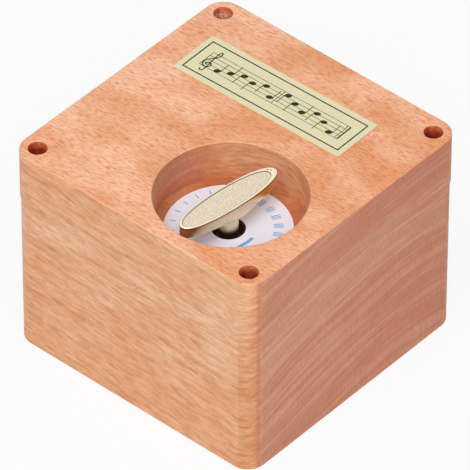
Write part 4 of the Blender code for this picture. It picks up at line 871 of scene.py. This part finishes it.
notes = bmesh.new()
for i, step in enumerate(NOTE_STEPS):
    x, y = (FIRST_NOTE + NOTE_GAP * i) * MM, step * LINE_GAP / 2
    lay_area(notes, ellipse(x, y, *NOTE_HEAD), PRINT_LEVEL + 2 * ABOVE)
    side = 1 if step < 0 else -1
    x += side * STEM_OFF
    stem_line = [(x, y), (x, y + side * NOTE_STEM)]
    lay_band(notes, stem_line, NOTE_STEM_WIDTH, PRINT_LEVEL + 3 * ABOVE)
on_label(printed("label_notes", notes, olive_ink))
print("label printed, with", len(NOTE_STEPS), "notes")

# %% [markdown]
# ## The paper disc
#
# The disc covers the floor of the recess round the shaft hole. A printed arrow shows which way
# to wind, and plain strokes run round its edge. The arrow is a band that follows an arc and
# swings out a little to its three-cornered head.

# %% Make the disc
DISC_OUT = (disc_high.x - disc_low.x) / 2
DISC_HOLE = 3.55 * MM
profile = [(DISC_HOLE, disc_low.z), (DISC_OUT, disc_low.z), (DISC_OUT, disc_high.z)]
profile += [(DISC_HOLE, disc_high.z), (DISC_HOLE, disc_low.z)]
disc = turned("disc", profile, 96, white_paper, SHAFT)
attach(disc, "casing")
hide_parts("recess_label")
print("disc", round(2 * DISC_OUT / MM, 2), "mm across")

# %% Print the disc
def around(radius, degrees):
    """The point at a radius and a direction from the winding shaft."""
    a = math.radians(degrees)
    return SHAFT[0] + radius * math.cos(a), SHAFT[1] + radius * math.sin(a)


ARROW = 5.72 * MM
ARROW_END = ARROW + 1.1 * MM
ARROW_FROM, ARROW_TO, ARROW_TIP = 9.4, -42, -64
ARROW_STEPS = 24
ARROW_WIDTH = 0.75 * MM
ARROW_FOOT = 0.9 * MM
STROKE_WIDTH = 0.22 * MM

marks = bmesh.new()
arrow = []
for i in range(ARROW_STEPS + 1):
    share = i / ARROW_STEPS
    radius = ARROW + (ARROW_END - ARROW) * share**3
    arrow.append(around(radius, ARROW_FROM + (ARROW_TO - ARROW_FROM) * share))
lay_band(marks, arrow, ARROW_WIDTH, disc_high.z)
feet = [around(ARROW_END + side * ARROW_FOOT, ARROW_TO) for side in (-1, 1)]
lay_area(marks, feet + [around(ARROW_END, ARROW_TIP)], disc_high.z + ABOVE)
strokes = []
for start in range(0, 360, 15):
    if start <= 90:
        strokes += [(start + turn, 9.2, 11.2) for turn in (-2.6, 0, 2.6)]
    else:
        strokes.append((start, 10.9, 12.2))
for direction, inner, outer in strokes:
    ends = [around(inner * MM, direction), around(outer * MM, direction)]
    lay_band(marks, ends, STROKE_WIDTH, disc_high.z)
disc_print = printed("disc_print", marks, blue_ink)
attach(disc_print, "casing")
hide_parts("recess_label")
print("disc printed, with", len(strokes), "strokes")

# %% [markdown]
# ## The winding key
#
# The key is a die-cast oval on a short stem, plated in a pale gold. Its upper face is sunk a
# little and as matte as fine sand, with a smooth raised rim round it, and its side is polished
# and mirrors the orange wood. The head is made as a stack of ovals: each ring of the stack is
# the outline drawn in by a certain amount at a certain height, which gives full control of the
# rim, the round edges and the swelling underneath where the stem starts.

# %% Key metal
PAINTED_SHADE_BROWN = (0.30, 0.16, 0.10)
DOT_BROWN = (0.10, 0.08, 0.04)
DOT_REACH = (0.14, 0.22)


def gilt(name, colour, roughness, sand=False, metallic=1.0, shade=None, dots=()):
    """Pale gold plating: sanded or smooth, with painted shade deep in the shaft hole, or dark dots.
    """
    made, tree, shader = plain_finish(name, colour, roughness, metallic)
    place = millimetres(tree)
    grains = noise(tree, place, 0.34, 3.0, 0.75)
    patches = noise(tree, place, 2.5)
    dark = tuple(v * (0.72 if sand else 0.93) for v in colour)
    plated = blend(tree, spread(tree, grains if sand else patches, 0.38, 0.6), dark, colour)
    if shade:
        plated = blend(tree, spread(tree, axes(tree, place)["Z"], *shade), PAINTED_SHADE_BROWN, plated)
    for dot in dots:
        off = vectors(tree, "DISTANCE", place, dot)
        plated = blend(tree, spread(tree, off, *DOT_REACH, 1.0, 0.0), plated, DOT_BROWN)
    gloss = spread(tree, patches, 0.3, 0.7, roughness - 0.04, roughness + 0.06)
    feed(tree, shader, plated, gloss)
    raise_surface(tree, shader, grains, 0.5 if sand else 0.05, 0.04)
    return made


sanded_gilt = gilt("sanded_gilt", (0.86, 0.74, 0.56), 0.7, True, 0.1)
polished_gilt = gilt("polished_gilt", (0.86, 0.70, 0.44), 0.24)
# A dark gilt that paints shade in the narrow step round the sunk field and under the rim.
painted_shade_gilt = gilt("painted_shade_gilt", (0.26, 0.19, 0.09), 0.5)
print("gilt has", len(polished_gilt.node_tree.nodes), "nodes")

# %% Key: sizes, outline and the finishes that follow its places
key_low, key_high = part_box("winding_key")
KEY_TOP = key_high.z
# Painted shade: the stem turns dark brown below the disc, where it goes into the shaft hole.
stem_shade = (disc_high.z / MM + 0.2, disc_high.z / MM + 0.8)
stem_gilt = gilt("stem_gilt", (0.95, 0.86, 0.60), 0.42, shade=stem_shade)
dot_places = [(10.01, -1.68, KEY_TOP / MM), (10.62, -1.31, KEY_TOP / MM)]
rim_gilt = gilt("rim_gilt", (0.92, 0.84, 0.62), 0.4, metallic=0.6, dots=dot_places)
KEY_THICK = 2.8 * MM
KEY_LENGTH = 26.15 * MM
KEY_WIDTH = 6.5 * MM
KEY_TURN = math.radians(84.7)
KEY_POWER = 2.2
FIELD_INSET = 1.1 * MM
FIELD_SHIFT = 0.5 * MM
FIELD_SIDE = 0.32 * MM


def oval(inset_x, inset_y, shift=0.0, count=160):
    """The head's outline, drawn in by an inset along and across, and shifted along."""
    points = []
    for i in range(count):
        a = math.tau * (i + 0.5) / count
        c, s = math.cos(a), math.sin(a)
        x = math.copysign(abs(c) ** (2 / KEY_POWER), c) * (KEY_LENGTH / 2 - inset_x) - shift
        y = math.copysign(abs(s) ** (2 / KEY_POWER), s) * (KEY_WIDTH / 2 - inset_y)
        points.append((x, y))
    return points


print("key head", round(KEY_LENGTH / MM, 2), "by", round(KEY_WIDTH / MM, 2), "mm")

# %% Key: stack the rings
BELLY_REACH = 4.4 * MM
LOW_ROUND = 0.35 * MM
HIGH_ROUND = 0.14 * MM
# The height of the band under the rounded top edge that gets painted shade.
SIDE_SHADE_BAND = 0.24 * MM
# Rings of the underside in mm: insets along and across, how far down, and the belly's drop.
UNDERSIDE = ((2.2, 1.6, 0.02, 1.5), (0.9, 0.75, 0.0, 1.25))
# Rings from the rim to the sunk field in mm: how far in and how deep.
FIELD_STEPS = ((0.0, 0.0), (0.02, 0.15), (0.12, 0.15), (0.15, 0.12))


def stacked(name, rings, finish):
    """Skins a closed stack of rings. Each is (points, level, and how far its middle drops)."""
    shape = bmesh.new()
    loops = []
    for points, level, drop in rings:
        heights = [level - drop * math.exp(-((x / BELLY_REACH) ** 2)) for x, _ in points]
        loops.append([shape.verts.new((*point, z)) for point, z in zip(points, heights)])
    for low, high in zip(loops, loops[1:]):
        for i in range(len(low)):
            j = (i + 1) % len(low)
            shape.faces.new((low[i], low[j], high[j], high[i]))
    shape.faces.new(loops[0])
    shape.faces.new(loops[-1])
    return to_object(name, shape, finish, 40)


def head_rings():
    """The rings of the head, from the middle of its underside over its edge to its field."""
    low = KEY_TOP - KEY_THICK
    rings = []
    for along, across, down, drop in UNDERSIDE:
        rings.append((oval(along * MM, across * MM), low - down * MM, drop * MM))
    for s, c in quarter(3):
        inset = LOW_ROUND * (1 - s)
        rings.append((oval(inset, inset), low + LOW_ROUND * (1 - c), MM))
    rings.append((oval(0, 0), KEY_TOP - HIGH_ROUND - SIDE_SHADE_BAND, 0))
    for s, c in quarter(3):
        inset = HIGH_ROUND * (1 - c)
        rings.append((oval(inset, inset), KEY_TOP - HIGH_ROUND * (1 - s), 0))
    for wider, depth in FIELD_STEPS:
        outline = oval(FIELD_INSET + wider * MM, FIELD_SIDE + wider * MM, FIELD_SHIFT)
        rings.append((outline, KEY_TOP - depth * MM, 0))
    return rings


print("key head has", len(head_rings()), "rings")

# %% Key: the head and its finishes
def inside_rim(place):
    """True between the rim and the sunk field, in the head's own directions."""
    reach_x = KEY_LENGTH / 2 - FIELD_INSET - 0.005 * MM
    reach_y = KEY_WIDTH / 2 - FIELD_SIDE - 0.005 * MM
    x, y = (place.x + FIELD_SHIFT) / reach_x, place.y / reach_y
    return abs(x) ** KEY_POWER + abs(y) ** KEY_POWER < 1


key_head = stacked("key_head", head_rings(), polished_gilt)
for finish in (sanded_gilt, rim_gilt, painted_shade_gilt):
    key_head.data.materials.append(finish)
FIELD_SLOT, RIM_SLOT, SHADE_SLOT = 1, 2, 3
for face in key_head.data.polygons:
    depth = KEY_TOP - face.center.z
    if face.area > 1e-5 and depth < MM:
        face.material_index = FIELD_SLOT
    elif abs(depth) < 0.01 * MM:
        face.material_index = RIM_SLOT
    # The narrow step round the field and the band under the rim get painted shade.
    elif inside_rim(face.center) and depth < 0.2 * MM or abs(depth - 0.26 * MM) < 0.03 * MM:
        face.material_index = SHADE_SLOT
key_head.data.transform(Matrix.Translation((*SHAFT, 0)) @ Matrix.Rotation(KEY_TURN, 4, "Z"))
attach(key_head, "key")
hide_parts("winding_key")
print("key head has", len(key_head.data.polygons), "faces")

# %% Key: the stem
STEM = 2.1 * MM
STEM_EDGE = 0.2 * MM
COLLAR = 3.2 * MM
COLLAR_HEIGHT = 0.6 * MM
COLLAR_EASE = 1.9 * MM
BORE = 1.65 * MM
BORE_TOP = key_low.z + 5.5 * MM
stem_top = KEY_TOP - KEY_THICK / 2
collar_from = KEY_TOP - KEY_THICK - COLLAR_HEIGHT
profile = [(0, stem_top), (COLLAR, stem_top), (COLLAR, collar_from)]
for s, c in quarter(8)[1:]:
    profile.append((COLLAR - (COLLAR - STEM) * s, collar_from - COLLAR_EASE * (1 - c)))
profile += [(STEM, key_low.z + STEM_EDGE), (STEM - STEM_EDGE, key_low.z)]
profile += [(BORE, key_low.z), (BORE, BORE_TOP), (0, BORE_TOP)]
key_stem = turned("key_stem", profile, 64, stem_gilt, SHAFT)
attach(key_stem, "key")
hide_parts("winding_key")
print("key made, top at", round(KEY_TOP / MM, 2), "mm")

# %% [markdown]
# ## Metals and nylon of the movement
#
# The pieces inside keep their CAD shapes, because teeth, pins and threads are already where they
# should be. They get the finishes that such movements have: grainy die-cast zinc, turned brass,
# ground steel with fine scratches, blued spring steel and moulded nylon. Scratches come from a
# noise that is stretched a great deal in one direction.

# %% Movement finishes
SHAFT_SHADE_BROWN = (0.20, 0.10, 0.06)
SHAFT_SHADE_REACH = (5.0, 5.8)
SHAFT_SHADE_LEVEL = (36.5, 37.5)


def scratched_metal(name, colour, roughness, sizes, depth, dim=0.72, shaded_round_shaft=False):
    """Metal with marks along the longest size, and painted shade round the winding shaft."""
    made, tree, shader = plain_finish(name, colour, roughness, 1.0)
    place = millimetres(tree)
    scratches = noise(tree, place, sizes, 3.0, 0.6)
    stains = noise(tree, place, 4)
    dark = tuple(v * dim for v in colour)
    tone = blend(tree, spread(tree, stains, 0.35, 0.6), dark, colour)
    tone = blend(tree, spread(tree, scratches, 0.6, 0.35, 0.0, 0.35), tone, dark)
    # Painted shade: a dark brown ring round the winding shaft, where it lies below the shaft hole.
    if shaded_round_shaft:
        level = vectors(tree, "MULTIPLY", place, (1, 1, 0))
        off = vectors(tree, "DISTANCE", level, (SHAFT[0] / MM, SHAFT[1] / MM, 0))
        ring = spread(tree, off, *SHAFT_SHADE_REACH, 1.0, 0.0)
        ring = calc(tree, "MULTIPLY", ring, spread(tree, axes(tree, place)["Z"], *SHAFT_SHADE_LEVEL))
        tone = blend(tree, ring, tone, SHAFT_SHADE_BROWN)
    gloss = spread(tree, scratches, 0.3, 0.7, roughness - 0.08, roughness + 0.12)
    feed(tree, shader, tone, gloss)
    raise_surface(tree, shader, scratches, depth, 0.03)
    return made


def moulded_nylon(name, colour):
    """Milky plastic, a little warmer where it flowed together."""
    made, tree, shader = plain_finish(name, colour, 0.45)
    flow = noise(tree, millimetres(tree), 1.5, 3.0)
    warm = tuple(v * f for v, f in zip(colour, (0.97, 0.95, 0.88)))
    feed(tree, shader, blend(tree, spread(tree, flow, 0.35, 0.65), warm, colour))
    shader.inputs["Subsurface Weight"].default_value = 0.15
    shader.inputs["Subsurface Radius"].default_value = (0.001, 0.0009, 0.0007)
    raise_surface(tree, shader, flow, 0.1, 0.03)
    return made


# Slot of each metal: name, colour, roughness, sizes of its marks in mm, and their strength, then
# for some how dim its stains are and whether it gets painted shade round the winding shaft.
METALS = {
    "cast_zinc": ("cast_zinc", (0.42, 0.43, 0.44), 0.5, 0.4, 0.5, 0.72, True),
    "yellow_brass": ("yellow_brass", (0.80, 0.61, 0.28), 0.28, (3, 0.12, 3), 0.15),
    "bright_steel": ("bright_steel", (0.64, 0.64, 0.65), 0.27, (5, 0.1, 0.5), 0.2, 0.72, True),
    "spring_steel": ("blued_steel", (0.17, 0.19, 0.26), 0.32, (2, 2, 0.08), 0.2, 0.72, True),
    "screw_steel": ("screw_steel", (0.34, 0.27, 0.22), 0.4, 0.5, 0.3, 0.52),
}
finishes = {slot: scratched_metal(*row) for slot, row in METALS.items()}
finishes["white_nylon"] = moulded_nylon("white_nylon", (0.80, 0.80, 0.74))
finishes |= {"beech": beech, "gilt_metal": polished_gilt}
finishes |= {"white_paper": white_paper, "pale_paper": label_paper}
for row in frame["record"]["subparts"]:
    node = frame["nodes"][row["node"]]
    node.data.materials.clear()
    node.data.materials.append(finishes[row["material_slot"]])

# %% [markdown]
# ## Round shading on the CAD nodes
#
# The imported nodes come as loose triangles, each with its own three corners, so a turned pin
# shades like cut glass. Joining corners would change the mesh, which stays as it is. The shading
# can be mended alone: every corner gets the average direction of the faces that meet at its
# place, but only of faces within 38 degrees of its own, so that real edges stay sharp.

# %% Average the shading directions
ALIKE = math.cos(math.radians(38))


def round_shading(node):
    """Gives each corner the mean direction of the faces at its place that look alike."""
    mesh = node.data
    count = len(mesh.loops)
    corners_at = np.empty(count, np.int32)
    mesh.loops.foreach_get("vertex_index", corners_at)
    places = np.empty(len(mesh.vertices) * 3, np.float32)
    mesh.vertices.foreach_get("co", places)
    places = np.round(places.reshape(-1, 3)[corners_at] * 1e6).astype(np.int64)
    face_of = np.repeat(np.arange(len(mesh.polygons)), [len(p.vertices) for p in mesh.polygons])
    normals = np.array([p.normal for p in mesh.polygons])
    weights = np.array([p.area for p in mesh.polygons])
    together = {}
    for corner, place in enumerate(map(tuple, places)):
        together.setdefault(place, []).append(corner)
    result = np.empty((count, 3))
    for members in together.values():
        faces = face_of[members]
        near = normals[faces] @ normals[faces].T > ALIKE
        sums = near @ (normals[faces] * weights[faces][:, None])
        result[members] = sums / np.maximum(np.linalg.norm(sums, axis=1, keepdims=True), 1e-20)
    mesh.shade_smooth()
    mesh.normals_split_custom_set(result.tolist())


shown = [node for node in frame["nodes"].values() if not node.hide_render]
for node in shown:
    round_shading(node)
print("shading rounded on", len(shown), "nodes")

# %% [markdown]
# ## Floor and light
#
# The photograph has a pure white ground, hardly any shadow, and three faces of nearly the same
# brightness, so its main light must be large and stand close to the camera. A lamp right above
# would make the sides too dark and the recess too deep. Here one large lamp stands nearer than
# the camera, a little to its left and at a steeper angle. Two weak lamps lift the sides, and a
# low pale sky fills the rest.
#
# The floor is a mixture of a white that only the camera and mirrors see and a plain pale
# surface, so the ground is white and the box still casts its faint shadow on it.

# %% Floor
FLOOR_GREY = (0.70, 0.70, 0.70)
FLOOR_GLOW = 0.90
FLOOR_LEVEL = -0.2 * MM


def seen_directly(tree):
    """1 for what the camera sees, also in a mirror or through glass, and 0 for other light."""
    rays = add(tree, "ShaderNodeLightPath").outputs
    seen = calc(tree, "ADD", rays["Is Camera Ray"], rays["Is Glossy Ray"])
    return calc(tree, "ADD", seen, rays["Is Transmission Ray"], clamp=True)


pale_floor, tree, shader = plain_finish("pale_floor", FLOOR_GREY, 0.9)
shader.inputs["Specular IOR Level"].default_value = 0.0
share = calc(tree, "MULTIPLY", seen_directly(tree), FLOOR_GLOW)
light = add(tree, "ShaderNodeEmission", {"Color": (1, 1, 1, 1), "Strength": 1.0})
mixed = add(tree, "ShaderNodeMixShader", {0: share, 1: shader.outputs[0], 2: light.outputs[0]})
tree.links.new(mixed.outputs[0], tree.nodes["Material Output"].inputs[0])
ground = bmesh.new()
bmesh.ops.create_grid(ground, x_segments=1, y_segments=1, size=3.0)
floor = to_object("floor", ground, pale_floor)
floor.location.z = FLOOR_LEVEL
print("floor is", round(floor.dimensions.x, 2), "m wide")

# %% Sky and lamps
SKY_LIGHT = 0.32
LAMP_TARGET = Vector((0, 0, 0.03))
sky = bpy.data.worlds.new("pale_sky")
bpy.context.scene.world = sky
sky.use_nodes = True
tree = sky.node_tree
background = tree.nodes["Background"]
level = spread(tree, seen_directly(tree), 0.0, 1.0, SKY_LIGHT, 1.0)
tree.links.new(level, background.inputs["Strength"])
background.inputs["Color"].default_value = (1, 1, 1, 1)


def soft_lamp(name, place, size, power):
    """A square lamp that looks at the box."""
    lamp = bpy.data.lights.new(name, "AREA")
    lamp.shape = "SQUARE"
    lamp.size = size
    lamp.energy = power
    made = bpy.data.objects.new(name, lamp)
    bpy.context.scene.collection.objects.link(made)
    made.location = place
    made.rotation_euler = (LAMP_TARGET - Vector(place)).to_track_quat("-Z", "Y").to_euler()


soft_lamp("main_lamp", (0.30, -0.52, 0.92), 0.8, 9.0)
soft_lamp("left_lamp", (-0.85, -0.25, 0.6), 0.6, 1.3)
soft_lamp("right_lamp", (0.85, -0.15, 0.5), 0.5, 0.9)
